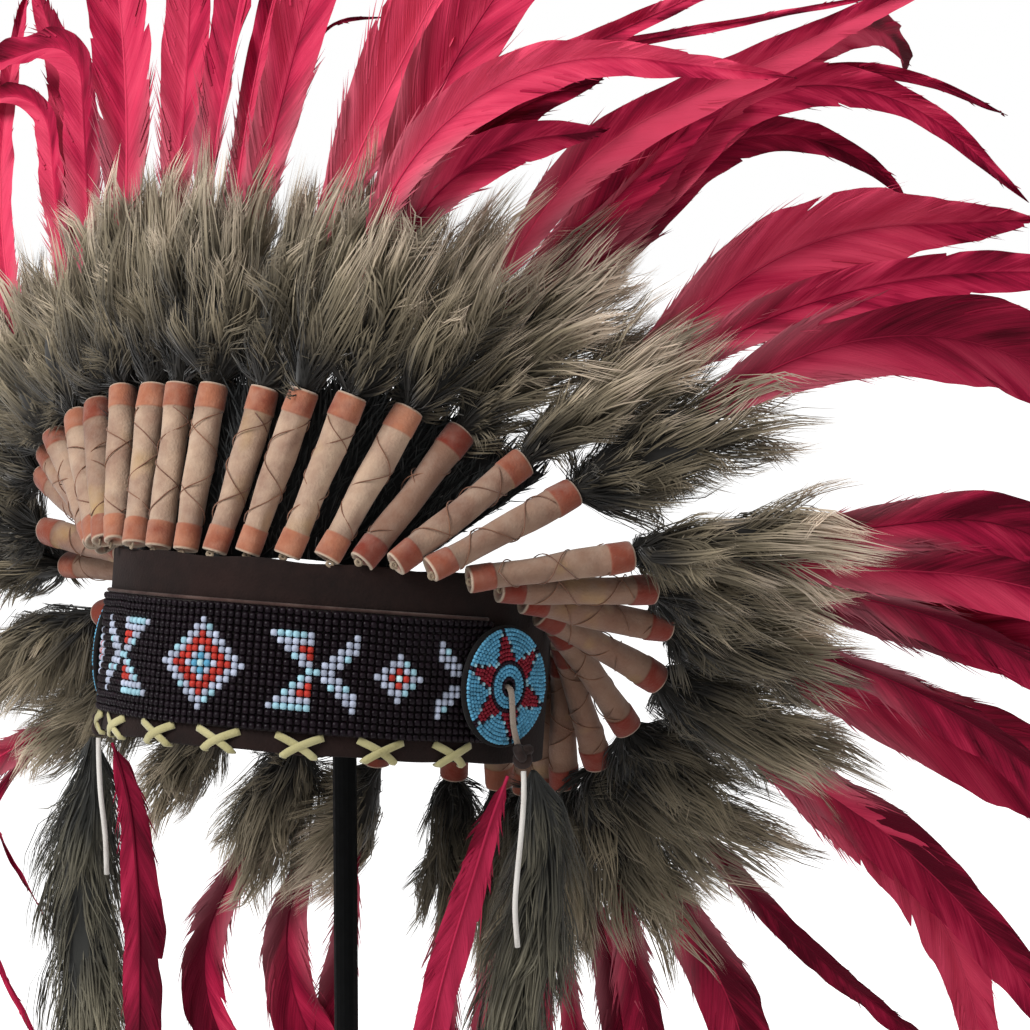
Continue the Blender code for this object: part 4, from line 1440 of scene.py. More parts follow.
@dataclass
class QuillWraps:
    """The suede roll round the foot of each quill, its thread and the loop that ties it to the band."""

    ring: QuillRing
    foot_radius: float = 5.1 * MM
    head_radius: float = 5.9 * MM
    band_length: float = 10.2 * MM
    sides: int = 22
    lap: float = .45 * MM
    lap_width: float = .35  # radians
    dents: tuple[tuple[int, float, float], ...] = ((2, .28 * MM, 9 * MM), (3, .18 * MM, -5 * MM))
    bow: float = .8 * MM
    thread_radius: float = .27 * MM
    thread_turns: float = 1.65
    loop_radius: float = .7 * MM
    loop_reach: float = 1.15 * MM
    rng: Rng = field(default_factory=lambda: seeded(10))

    def outline(self, length: float) -> list[Pair]:
        """Return the roll's outline.

        Args:
            length: The roll's length.

        Returns:
            Radius and height of each point, from the middle of its foot.
        """
        low, high, band = self.foot_radius, self.head_radius, self.band_length
        body = low - .15 * MM
        foot = ((-1.5, .5), (-.7, 0), (-.1, .35), (.1, 2))  # mm from the roll's face and its end
        head = ((.1, -1.5), (-.2, -.3), (-.9, 0), (-2, -.6))
        return [
            (.6 * MM, 1.2 * MM),
            *((low + aside * MM, rise * MM) for aside, rise in foot),
            (low + .2 * MM, band - 1 * MM),
            (low + .15 * MM, band - .2 * MM),
            *((body + (high - low) * t, band + (length - 2 * band) * t) for t in np.linspace(0, 1, 9)),
            (high + .15 * MM, length - band + .2 * MM),
            (high + .2 * MM, length - band + 1 * MM),
            *((high + aside * MM, length + rise * MM) for aside, rise in head),
            (.6 * MM, length - .8 * MM),
        ]

    def redness(self, shaft: int) -> float:
        """Return how red the end bands of a wrap are, which also sets how much painted shade darkens its
        body.

        Args:
            shaft: The wrap's shaft.

        Returns:
            0 for rust to 1 for red; the redder, the more painted shade on the body.
        """
        if -5 < shaft < 4:
            return .15
        if -9 < shaft < 0:
            return .5
        return .95 if 6 < shaft < 16 else .75

    def shape(self, points: Array, length: float) -> Array:
        """Return a roll's vertices with its lap, its dents and its bow.

        Args:
            points: The vertices of the plain roll.
            length: Its length.

        Returns:
            The shaped vertices.
        """
        turn, height = np.arctan2(points[:, 1], points[:, 0]), points[:, 2]
        seam = self.rng.uniform(-math.pi, math.pi)
        swell = self.lap * np.exp(-(((turn - seam + math.pi) % FULL_TURN - math.pi) / self.lap_width) ** 2)
        for count, depth, pitch in self.dents:
            swell = swell + depth * np.sin(count * turn + height / pitch + self.rng.uniform(0, 6))
        away = np.hypot(points[:, 0], points[:, 1])
        grown = np.where(away > 2 * MM, 1 + swell / np.maximum(away, MM), 1)
        shaped = points * np.stack((grown, grown, np.ones_like(grown)), axis=1)
        shaped[:, 0] += self.bow * np.sin(math.pi * height / length) * self.rng.uniform(-1, 1)
        return shaped

    def axes_of(self, quill: Quill) -> Array:
        """Return a wrap's X, Y and Z as rows, turned at random round its own line."""
        side = turned(unit(np.cross(quill.lean, quill.line.across[0])), quill.lean, self.rng.uniform(0, 360))
        return np.stack((side, np.cross(quill.lean, side), quill.lean))

    def wind(self, bundle: Bundle, quill: Quill, axes: Array, length: float) -> None:
        """Wind two crossing threads round the body of a wrap.

        Args:
            bundle: Where they go.
            quill: The quill.
            axes: The wrap's X, Y and Z as rows.
            length: The wrap's length.
        """
        t = np.linspace(0, 1, 44)
        height = self.band_length + .6 * MM + (length - 2 * self.band_length - 1.2 * MM) * t
        radius = self.foot_radius + (self.head_radius - self.foot_radius) * t + .25 * MM
        start = self.rng.uniform(0, FULL_TURN)
        turns = self.thread_turns * self.rng.uniform(.92, 1.1)
        for sign in (-1, 1):
            angle = start + sign * FULL_TURN * turns * t + .25 * ripple(t, .7, self.rng)
            local = np.stack((radius * np.cos(angle), radius * np.sin(angle), height), axis=1)
            bundle.tube(quill.foot + local @ axes, self.thread_radius, 4)

    def tie(self, bundle: Bundle, quill: Quill) -> None:
        """Add the small loop between a wrap's foot and the band.

        Args:
            bundle: Where it goes.
            quill: The quill.
        """
        t = np.linspace(0, FULL_TURN, 15)[:, None]
        out = unit(quill.foot * (1, 1, 0) - BAND_CENTRE * (1, 1, 0))
        side = unit(np.cross(out, quill.lean))
        centre = quill.foot - quill.lean * .6 * MM + out * self.rng.uniform(1.2, 2.2) * MM
        centre = centre + side * self.rng.uniform(-2, 2) * MM
        ring = self.loop_reach * (np.cos(t) * side + .8 * np.sin(t) * quill.lean)
        bundle.tube(centre + ring, self.loop_radius, 6)

    def build(self) -> None:
        """Roll every wrap, wind its thread and tie it."""
        suede = WrapSuede().material()
        threads, loops = Bundle(), Bundle()
        for shaft, quill in self.ring.quills.items():
            length = float(np.linalg.norm(quill.head - quill.foot))
            points, faces = spun(self.outline(length), self.sides, closed=False)
            shaped = self.shape(points, length)
            axes = self.axes_of(quill)
            tone = self.rng.uniform(.25, .75)
            # the redness of the end bands, which also sets the painted shade of the body
            red = min(1, self.redness(shaft) * self.rng.uniform(.7, 1.3))
            roll = Bundle()
            lengthwise = points[:, 2] / length
            roll.add(quill.foot + shaped @ axes, faces, lengthwise=lengthwise, tone=tone, redness=red)
            node = wrap_node(shaft)
            roll.build(node.replace("quill_wrap", "wrap_roll"), suede, "wrap_suede", node)
            self.wind(threads, quill, axes, length)
            self.tie(loops, quill)
        thread = Nap("wrap_thread", "8a5f47", "5c3a2b", roughness=.8, grain=2500, relief=.00005, dust=.1)
        threads.build("wrap_threads", thread.material(), "wrap_suede")
        leather = Nap("loop_leather", "a8967f", "6e5c4a", roughness=.8, grain=1500, relief=.0002)
        loops.build("wrap_loops", leather.material(), "wrap_suede")


# ---- fur


@dataclass(frozen=True)
class Pelt:
    """How the hairs of a piece of fur lie on its line. Places are distances from the line's start."""

    locks: int
    hairs: int  # in a lock
    root_to: float  # last root
    tip_from: float  # nearest and farthest tips
    tip_to: float
    shortest: float
    longest: float
    half_widths: Outline  # distance and half width
    half_depths: Outline
    hair_width: float = .58 * MM
    curl: float = 6.5 * MM
    sections: int = 4
    stray_share: float = .12
    gathering: float = .68  # how far the tips of a lock come together
    root_scatter: float = 3.5 * MM
    tip_scatter: float = 3.4 * MM
    taper: tuple[tuple[float, ...], tuple[float, ...]] = ((0, .25, .7, 1), (.75, 1, .8, .05))

    def grow(
        self, bundle: Bundle, line: Line, rng: Rng, droop: Array | float = 0, darkness: float = 0
    ) -> None:
        """Grow hairs in locks round a line.

        Args:
            bundle: Where they go.
            line: The line that carries the roots.
            rng: The source of their spread.
            droop: How far the tips hang, in metres.
            darkness: How much darker than usual the hairs are; the tufts use it as painted light and shade.
        """
        n = self.locks
        angle = rng.uniform(0, FULL_TURN, n)
        tip = self.tip_from + (self.tip_to - self.tip_from) * rng.uniform(0, 1, n) ** .85
        tip = tip + np.where(rng.uniform(0, 1, n) < self.stray_share, .12 * self.tip_to, 0)
        root = np.clip(tip - rng.uniform(self.shortest, self.longest, n), 0, self.root_to)
        spread = np.sqrt(rng.uniform(.15, 1, n)) * rng.uniform(.8, 1.15, n)
        tone = rng.uniform(0, 1, n)
        curl = rng.normal(0, 1, (n, 3)) * self.curl
        sway = rng.normal(0, 1, (n, 3)) * self.curl * .45
        lock = np.repeat(np.arange(n), self.hairs)
        count = len(lock)
        own_angle = angle[lock] + rng.normal(0, .30, count)
        own_root = root[lock] + rng.normal(0, self.root_scatter, count)
        own_tip = tip[lock] + rng.normal(0, self.tip_scatter, count)
        own_spread = spread[lock] * rng.normal(1, .16, count)

        t = np.linspace(0, 1, self.sections)[None, :]
        gather = self.gathering * t**1.3
        held_angle = own_angle[:, None] * (1 - gather) + angle[lock][:, None] * gather
        held_spread = own_spread[:, None] * (1 - gather) + spread[lock][:, None] * gather
        first, last = np.maximum(own_root, .5 * MM)[:, None], np.maximum(own_tip, own_root + 6 * MM)[:, None]
        distance = first * (1 - t) + last * t
        opened = held_spread * (.5 + .5 * t**.6)
        wide = np.interp(distance, *zip(*self.half_widths)) * opened * np.cos(held_angle)
        deep = np.interp(distance, *zip(*self.half_depths)) * opened * np.sin(held_angle)
        across, through = line.frame(distance)
        lines = line.at(distance) + wide[..., None] * across + deep[..., None] * through
        bent = t[..., None]
        lines += curl[lock][:, None, :] * bent**2 + rng.normal(0, .9 * MM, (count, 1, 3)) * bent**1.2
        lines += sway[lock][:, None, :] * np.sin(math.pi * bent) + droop * bent**1.8

        middle = self.sections // 2
        cosines, sines = np.cos(own_angle)[:, None], np.sin(own_angle)[:, None]
        facing = cosines * across[:, middle] + sines * through[:, middle]
        facing = unit(facing + rng.normal(0, .28, (count, 3)))
        widths = np.interp(t, *self.taper) * (self.hair_width * rng.uniform(.65, 1.35, count))[:, None]
        # darkness scales the root-to-tip colour: painted shade where it is positive and painted light where
        # negative
        shade = np.clip((distance / self.tip_to * .6 + t * .4) * (1 - 1.5 * darkness), 0, 1)
        own_tone = np.clip(tone[lock] + rng.normal(0, .12, count), 0, 1)[:, None]
        bundle.strands(lines, facing, widths, shade=shade, tone=np.broadcast_to(own_tone, shade.shape))

    def fill(self, bundle: Bundle, line: Line, share: float) -> None:
        """Add the dark core that hides the quill and the light between the hairs: a dark solid that is
        painted shade inside the fur.

        Args:
            bundle: Where it goes.
            line: The fur's line.
            share: How much of the fur's width and depth it fills.
        """
        distance = np.linspace(.6 * MM, self.root_to * 1.15, 9)
        taper = share * np.minimum(1, np.linspace(1.25, 0, 9) / .5) ** .6
        wide = np.interp(distance, *zip(*self.half_widths)) * taper + .2 * MM
        deep = np.interp(distance, *zip(*self.half_depths)) * taper + .2 * MM
        across, through = line.frame(distance)
        cosines, sines = circle(10)
        ring = across[:, None] * (wide[:, None] * cosines)[..., None]
        ring = ring + through[:, None] * (deep[:, None] * sines)[..., None]
        table = line.at(distance)[:, None] + ring
        # the core takes the dark root colour as painted shade inside the fur
        bundle.lay(pipe_pattern(len(distance), len(cosines)), table, shade=.08, tone=.3)


class FurLie(NamedTuple):
    """How one tuft differs from the usual: length, width and width near the wrap against it, and darkness as
    painted shade, painted light where negative.
    """

    length: float = .92
    width: float = 1
    foot: float = 1
    # painted shade; a negative value paints light
    darkness: float = .03
    drift: Triple = (0, 0, 0)  # how far the tips hang aside, in mm


# darkness is painted light and shade: negative, so lighter, for the tufts from the front middle round towards
# the wearer's left, and darker towards the back centre
FUR_LIES = {shaft: FurLie(*lie) for shaft, *lie in (
    (-16, .68, .34, .8, .03, (-30, 0, 0)), (-15, .84, .8), (-14, .72, .6, .8),
    (-12, .9, .6, .65, .03, (0, 0, -23)), (-11, .92, .7, .8, .03, (0, 0, -3)), (-5, .88),
    (-4, .85), (-3, .86), (-2, .82), (-1, .82, 1, 1, 0), (0, .86, 1, 1, -.02),
    (1, .86, 1, 1, -.04), (2, .84, 1, 1, -.06), (3, .85, 1, 1, -.08),
    (4, .99, .95, .6, -.12, (9, 0, -10)), (5, .88, .8, .5, -.04, (3, 0, -2)),
    (6, 1, 1, .8, -.04, (0, 0, -7)), (7, .95, .66, .7, -.06, (0, 0, -8)), (8, .92, 1, 1, -.03),
    (9, .88), (10, 1.1, 1.05, 1, .03, (6, 0, 3)), (11, 1.08, 1.2, 1, .08, (13, 0, 5)),
    (12, 1.04, 1.15, 1, .08, (10, 0, 3)), (13, .92, .9, 1, .1), (14, .92, .8, 1, .12),
    (15, .9, .8, 1, .12), (16, .9, .6, 1, .14), (17, .78, .42, 1, .18),
)}


@dataclass
class FurTufts:
    """The fur round each quill above its wrap."""

    ring: QuillRing
    length: float = 98 * MM
    locks: int = 88
    hairs: int = 24
    spreading: float = .72  # half width against the room between plumes
    depths: Outline = ((0, 6), (.1, 9), (.22, 12), (.5, 15), (.85, 13), (1.1, 9))  # share of length, mm
    rng: Rng = field(default_factory=lambda: seeded(20))

    def pelt(self, quill: Quill, lie: FurLie) -> Pelt:
        """Return the fur of one tuft, wider where the quills stand further apart.

        Args:
            quill: The tuft's quill.
            lie: How the tuft differs.

        Returns:
            The fur.
        """
        half = lie.width * float(np.clip(self.spreading * quill.room, 16 * MM, 25 * MM))
        size = lie.length * self.length
        foot = lie.foot * half
        widths = ((0, 5.6 * MM), (.07, .62 * foot), (.2, .92 * foot), (.5, half), (.85, half))
        return Pelt(
            self.locks, self.hairs, root_to=.6 * size, tip_from=.12 * size, tip_to=1.06 * size,
            shortest=26 * MM, longest=54 * MM,
            half_widths=tuple((share * size, wide) for share, wide in (*widths, (1.1, .75 * half))),
            half_depths=tuple((share * size, deep * MM) for share, deep in self.depths),
        )

    def undercoat(self, pelt: Pelt) -> Pelt:
        """Return the short thick hair that spreads from the wrap's head."""
        return replace(
            pelt, locks=40, hairs=18, root_to=.3 * self.length, tip_from=7 * MM, tip_to=.5 * self.length,
            shortest=9 * MM, longest=24 * MM, hair_width=.65 * MM, curl=4 * MM,
        )

    def grow(self, bundle: Bundle, quill: Quill) -> None:
        """Grow one quill's tuft.

        Args:
            bundle: Where it goes.
            quill: The quill.
        """
        lie = FUR_LIES.get(quill.shaft, FurLie())
        pelt = self.pelt(quill, lie)
        pelt.fill(bundle, quill.line, .6)
        # this tuft's painted light and shade, with some random tone
        darkness = lie.darkness + self.rng.uniform(-.05, .06)
        drift = np.array(lie.drift) * MM
        pelt.grow(bundle, quill.line, self.rng, drift, darkness)
        self.undercoat(pelt).grow(bundle, quill.line, self.rng, .3 * drift, darkness + .1)

    def build(self) -> None:
        """Grow the tufts of each plume group as one piece."""
        fur = Hair("tuft_fur", "1a1713", "857963", "dcc8b4")
        self.ring.build_groups("fur_tufts", fur.material(), "fur", self.grow)


@dataclass
class FurBacking:
    """The panel of short dark fur behind the front wraps."""

    hairs: int = 9000
    hair_length: float = 8.5 * MM
    hair_width: float = .75 * MM
    tall_from: float = 60 * MM  # over the band's middle
    tall_over: float = 45 * MM

    def build(self) -> None:
        """Cover a copy of the CAD panel with short hair."""
        rng = seeded(30)
        bm = bmesh.new()
        bm.from_mesh(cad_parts["fur_backing"].data)
        bmesh.ops.remove_doubles(bm, verts=bm.verts, dist=WELD)
        bmesh.ops.triangulate(bm, faces=bm.faces)
        bm.normal_update()
        normals = np.array([face.normal for face in bm.faces])
        points, faces = arrays_of(bm)
        corners = points[faces[0]]
        area = np.linalg.norm(np.cross(corners[:, 1] - corners[:, 0], corners[:, 2] - corners[:, 0]), axis=1)
        n = self.hairs
        picked = rng.choice(len(corners), n, p=area / area.sum())
        roots = np.sum(corners[picked] * rng.dirichlet((1, 1, 1), n)[..., None], axis=1)
        out = normals[picked]
        flow = unit(np.stack((10 * roots[:, 0], np.full(n, .2), np.ones(n)), axis=1))
        flow = unit(flow + rng.normal(0, .3, (n, 3)))
        t = np.linspace(0, 1, 4)[None, :]
        height = np.clip(((roots - BAND_CENTRE) @ TILT[:, 2] - self.tall_from) / self.tall_over, 0, 1)
        length = self.hair_length * rng.uniform(.6, 1.3, n) * (.8 + 1.3 * height**3)
        bend = flow[:, None] * t[..., None] + out[:, None] * .22 * (t - .5 * t**2)[..., None]
        lines = roots[:, None] + length[:, None, None] * bend
        shade = np.broadcast_to(t, (n, 4))
        tone = np.broadcast_to(rng.uniform(0, 1, (n, 1)), shade.shape)
        widths = np.interp(t, (0, .4, 1), (.9, 1, .05)) * self.hair_width * rng.uniform(.7, 1.3, (n, 1))
        facing = unit(out + rng.normal(0, .25, out.shape))
        bundle = Bundle()
        bundle.add(points, faces, shade=.1, tone=.3)
        bundle.strands(lines, facing, widths, shade=shade, tone=tone)
        fur = Hair("backing_fur", "131415", "2b2d2d", "4c4c49", .8)
        bundle.build("backing_fur", fur.material(), "fur", "fur_backing")


# ---- feathers


class FeatherRow(NamedTuple):
    """One long feather of a plume. A direction is side, back and up in the headdress's frame."""

    shaft: int
    length: float  # mm past the wrap
    half_width: float  # mm
    tone: float  # 0 deep crimson to 1 bright pink
    fan: float = 0  # degrees towards the next quill
    lift: float = 0  # degrees out of the ring
    last_way: Triple | None = None  # or the plume's own
    bend: Pair | None = None  # where it starts and ends, or the plume's own
    twist: Pair = (0, 20)  # degrees at its root and tip
    fray: float = 1
    taper: float = .4


FEATHERS = tuple(FeatherRow(*row) for row in (
    (-16, 289, 13.6, .3, -21.9, -.4, (77, 28, -58), (.2, .68), (-16, 1), .6, .1),
    (-16, 285, 9, .4), (-15, 289, 10.6, .18, -4.7, 0, (64, 28, -72), (.35, .65), (-9, 3), 1.1, .1),
    (-13, 294, 8.9, .55, -4.6, .1, (11, 13, -99), (.36, .71), (4, 0), .4, .4),
    (-13, 290, 2.3, .35, -.3, .1, (54, 14, -83), (.31, .76), (-4, -14), .3, .5),
    (-12, 266, 1.9, .4, -1.9, -1.2, (39, 37, -84), (.42, .54), (14, -32), .3, .5),
    (-12, 285, 10, .45), (-11, 285, 12, .4), (-10, 285, 12, .4), (-10, 250, 10, .35, 7, 3),
    (-9, 285, 12, .35), (-8, 285, 12, .45), (-8, 250, 10, .4, -7, 3),
    (-7, 249, 6.4, .65, .6, -.1, (-2, 24, 97), (.2, .94), (44, 51), .5, .3),
    (-6, 292, 5.7, .4, -3.5, -.9, (-98, 15, -16), (.53, .71), (45, 5), .4, .3),
    (-6, 254, 9.3, .4, -2.5, -5.2, (-52, 16, 84), (.7, .82), (46, 51), 1.3, .3),
    (-5, 291, 8.9, .3, -.2, .3, (-96, 16, -21), (.57, .73), (49, 6), .6, .3),
    (-4, 290, 13.1, .45, 2.1, .9, (-50, 24, 83), (.34, .97), (47, 44), .8, 0),
    (-3, 290, 10, .5, .1, 0, (-32, 24, 92), (.2, 1), (34, 63), .7, .1), (-2, 285, 10, .45),
    (-1, 290, 5.1, .45, 3.4, .7, (24, 30, 92), (.26, 1), (33, 35), .4, .2),
    (-1, 300, 11.4, .5, -3.9, -.9, (21, 30, 93), (.34, 1), (34, 35), .5, .2),
    (-1, 174, 1.7, .3, -6.2, -3, (95, 30, 11), (.8, .92), (34, 34), .2, .5),
    (0, 290, 15.3, 1, -3.8, 1.2, (33, 38, 86), (.02, 1), (32, 33), .6, .9),
    (1, 302, 15.3, .5, -2.5, -5.3, (72, 47, 51), (.39, 1), (21, 23), .4, 1),
    (2, 251, 10, .9, 17.5, 3.3, (96, 25, -8), (.16, .77), (-17, -14), .5, .9),
    (2, 165, 9.3, .3, 5.9, -1.8, (83, 42, 37), (.3, .91), (-12, -1), .4, .8),
    (2, 269, 5.5, .6, 3.6, .8, (83, 30, 47), (.31, .53), (-13, -15), .4, .8),
    (2, 296, 2.8, .5, 4.7, 1.7, (88, 40, 25), (.22, .6), (-13, 6), .3, .8),
    (2, 155, 9.8, .5, 4.2, 1.5, (95, 28, 16), (.34, .86), (-12, -7), .4, .9),
    (3, 288, 9.8, .85, -3.8, 3.3, (84, 25, 48), (.32, .53), (-22, -9), .5, .8),
    (3, 241, 10.2, .3, -16.2, -2.1, (-62, 47, -62), (.76, .99), (-20, -9), .4, .9),
    (3, 351, 9.8, .62, -19.6, -2.7, (-27, 87, -42), (.58, 1), (-19, 39), .3, .3),
    (4, 323, 11.9, .6, -.4, -.5, (67, 42, -61), (.46, .89), (-9, 24), .5, .9),
    (4, 311, 5.5, .5, -2.6, -4.5, (83, 43, -35), (.54, .93), (-8, 25), .4, .6),
    (4, 259, 10, .4, -3, -2.9, (56, 45, -69), (.54, 1), (-8, 26), .4, .7),
    (5, 251, 17.8, .8, 1.2, -2.3, (76, 64, 14), (.44, .78), (3, 23), .7, .9),
    (5, 300, 9.8, .5, -6.5, -.1, (87, 45, -21), (.25, 1), (8, 22), .4, .5),
    (6, 316, 18.7, .463, 3.7, .7, (23, 65, -73), (.25, 1), (6, 27), .5, .2),
    (7, 289, 12.3, .36, -1.5, 0, (19, 52, -84), (.43, .85), (-13, 8), .4, .4),
    (7, 291, 13.1, .52, -11, .7, (58, 52, -63), (.43, 1), (-11, -4), .4, .4),
    (8, 281, 12.7, .4, -2.1, .2, (78, 51, -35), (.02, 1), (-33, -21), .8, .4),
    (8, 260, 10, .35, 6, 3),
    (9, 291, 18.7, .463, -8.8, 1.5, (61, 47, -64), (.45, 1.01), (-27, -22), .5, .3),
    (9, 250, 10, .35, 7, 4),
    (10, 290, 14, .98, -5.5, .7, (12, 16, -98), (.47, .96), (-23, -10), .8, .4),
    (10, 291, 12.7, .42, -3.6, .6, (55, 15, -82), (.42, 1), (-23, -8), .5, .4),
    (11, 300, 5.7, .15, -.7, 0, (75, 50, -43), (.16, .98), (-18, 18), .4, .6),
    (12, 280, 13.6, .42, 10.2, -.6, (-18, 35, -92), (.45, .93), (-12, -1), .4, .2),
    (12, 250, 9, .35, -6, 3),
    (13, 279, 9.8, .38, 12.5, -1.1, (-20, 29, -93), (.24, .96), (-15, -1), .4, .4),
    (13, 240, 9, .35, -7, 3),
    (14, 280, 5.5, .35, 11, -3.5, (27, 33, -90), (.27, 1), (-48, -39), .4, .5), (15, 285, 10, .35),
    (16, 285, 10, .35), (16, 240, 9, .35, 6, 3), (17, 285, 10, .35),
))


@dataclass(frozen=True)
class Vane:
    """One feather: a cupped vane of slanting barbs with notches, loose barbs at its edges, and a shaft."""

    bundle: Bundle
    line: Line
    rng: Rng
    half_width: float
    start: float
    end: float
    twist: Pair
    tone: float
    fray: float
    taper: float = 0  # 0 keeps the full outline, 1 makes it a sickle
    rows: int = 92
    columns: int = 8
    slant: float = 2.3
    cup: float = .5
    bare: float = 20 * MM
    full: Outline = ((0, .35), (.1, .72), (.28, .98), (.6, .95), (.84, .66), (.95, .34), (1, .04))
    sickle: Outline = (
        (0, .35), (.1, .8), (.25, 1), (.42, .88), (.6, .64), (.78, .38), (.92, .16), (1, .01)
    )
    waves: tuple[tuple[float, float, int], ...] = ((1.3, 70, 2), (1.1, 34, 3), (1.2, 48, 1))
    loose_barbs: int = 50
    shaft_radii: Pair = (.75 * MM, .18 * MM)

    def share(self, distance: Array) -> Array:
        """Return how far along the vane distances are, from 0 to 1."""
        return np.clip((distance - self.start) / (self.end - self.start), 0, 1)

    def frame(self, distance: Array) -> tuple[Array, Array]:
        """Return the way across the vane and the way it faces, at distances along its line."""
        turn = self.twist[0] + (self.twist[1] - self.twist[0]) * self.share(distance) ** 1.3
        return self.line.frame(distance, np.radians(turn))

    def places(self, base: Array, reach: Array, wave: Array) -> Array:
        """Return points of the vane.

        Args:
            base: Where each point's barb leaves the shaft.
            reach: How far out it is, negative on one side.
            wave: How far it is lifted off the flat.

        Returns:
            The points, in the shape of base.
        """
        distance = base + np.abs(reach) * self.slant
        side, face = self.frame(distance)
        lift = (wave - self.cup * np.abs(reach))[..., None]
        return self.line.at(distance) + side * reach[..., None] + face * lift

    def edge(self, base: Array) -> Array:
        """Return the half width of one side, with its waves and notches.

        Args:
            base: Where each row leaves the shaft.

        Returns:
            The half width at each row.
        """
        full, sickle = (np.interp(self.share(base), *zip(*shape)) for shape in (self.full, self.sickle))
        half = self.half_width * (full + (sickle - full) * self.taper)
        slow = .08 * ripple(base, 80 * MM, self.rng)
        half = half * (1 + slow + .012 * self.fray * ripple(base, 14 * MM, self.rng))
        for _ in range(round(2.4 * self.fray**1.5)):
            at = int(self.rng.uniform(.1, .95) * len(base))
            depth = self.rng.uniform(.1, .4) * min(self.fray, 1.4)
            fade = int(self.rng.integers(1, 4))
            for k in range(min(fade, len(base) - at)):
                half[at + k] *= 1 - depth * (1 - k / fade)
        return half

    def grow(self) -> None:
        """Add the feather to its bundle."""
        base = np.linspace(self.start, self.end, self.rows)
        halves = [self.edge(base), self.edge(base)]
        spots = np.linspace(-1, 1, self.columns + 1)
        reach = np.where(spots[None, :] < 0, halves[0][:, None], halves[1][:, None]) * spots[None, :]
        bases = np.broadcast_to(base[:, None], reach.shape)
        wave = 0
        for height, length, power in self.waves:  # in mm
            across = spots**power if power < 3 else np.abs(spots) ** power
            wave = wave + height * MM * ripple(base, length * MM, self.rng)[:, None] * across
        values = {"reach": bases, "share": self.share(bases), "barb": spots, "tone": self.tone}
        self.bundle.lay(sheet_pattern(self.rows - 1, self.columns), self.places(bases, reach, wave), **values)
        for sign, half in zip((-1, 1), halves):
            self.add_loose_barbs(sign, base, half)
        self.add_shaft()

    def add_loose_barbs(self, sign: int, base: Array, half: Array) -> None:
        """Add thin barbs that stand out past one edge of the vane, longer near the root.

        Args:
            sign: The side, -1 or 1.
            base: Where each row of the vane leaves the shaft.
            half: The vane's half width at each row.
        """
        n = round(self.loose_barbs * self.fray**.7)
        rooted = self.rng.uniform(0, 1, n) < .55
        share = np.where(rooted, self.rng.uniform(0, .22, n), self.rng.uniform(.2, 1, n))
        root = self.start + share * (self.end - self.start)
        wide = np.interp(root, base, half)[:, None]
        past = self.rng.uniform(.2, 1, n) * MM * (1 + 4.5 * (share < .22)) * self.fray**.5
        t = np.linspace(0, 1, 4)[None, :]
        reach = sign * (wide * (.55 + .45 * t) + past[:, None] * t**1.4)
        drift = self.rng.normal(0, 1.2 * MM, n)[:, None] * t**2
        bases = root[:, None] + self.rng.uniform(-.2, 1.2, n)[:, None] * wide * t**2
        points = self.places(bases, reach, drift)
        widths = np.interp(t, (0, .6, 1), (1.1, .8, .05)) * MM * self.rng.uniform(.5, 1, (n, 1))
        same = np.ones_like(bases)
        values = {"reach": bases, "share": self.share(bases), "barb": sign * (.6 + .4 * t) * same}
        self.bundle.strands(points, self.frame(root)[1], widths, tone=self.tone * same, **values)

    def add_shaft(self) -> None:
        """Add the feather's tapering shaft."""
        distance = np.linspace(self.start - self.bare, self.end, 40)
        centre = self.line.at(distance) + self.frame(distance)[1] * .15 * MM
        radii = np.interp(distance, (self.start, self.end), self.shaft_radii)
        self.bundle.tube(centre, radii, 5, reach=0, share=.3, barb=.5, tone=self.tone)


@dataclass
class Plumage:
    """The long dyed feathers that leave the tufts."""

    ring: QuillRing
    root: float = 55 * MM
    rng: Rng = field(default_factory=lambda: seeded(40))

    def line_of(self, quill: Quill, row: FeatherRow) -> Line:
        """Return the line of one feather.

        Args:
            quill: The quill that it leaves.
            row: Its row, which can fan and lift it away from its plume.

        Returns:
            The line.
        """
        across = unit(quill.line.across[0] - quill.lean * (quill.line.across[0] @ quill.lean))
        way = turned(turned(quill.lean, np.cross(quill.lean, across), -row.fan), across, row.lift)
        last = quill.end_way if row.last_way is None else TILT @ np.array(row.last_way)
        return Line.bent(quill.head, way, last, row.length * MM, row.bend or quill.bend, across)

    def grow(self, bundle: Bundle, quill: Quill) -> None:
        """Grow one quill's feathers.

        Args:
            bundle: Where they go.
            quill: The quill.
        """
        for row in FEATHERS:
            if row.shaft == quill.shaft:
                line = self.line_of(quill, row)
                sizes = (row.half_width * MM, self.root, line.length)
                Vane(bundle, line, self.rng, *sizes, row.twist, row.tone, row.fray, row.taper).grow()

    def build(self) -> None:
        """Grow the feathers of each plume group as one piece."""
        self.ring.build_groups("feathers", DyedFeather().material(), "feather", self.grow)


# ---- what hangs under the rosettes


class DropStop(NamedTuple):
    """One section of a hanging thing, in mm from the middle of its knot."""

    down: float
    across: float  # towards the wearer's left when facing is 0
    ahead: float
    half_width: float = 0
    half_thickness: float = 0


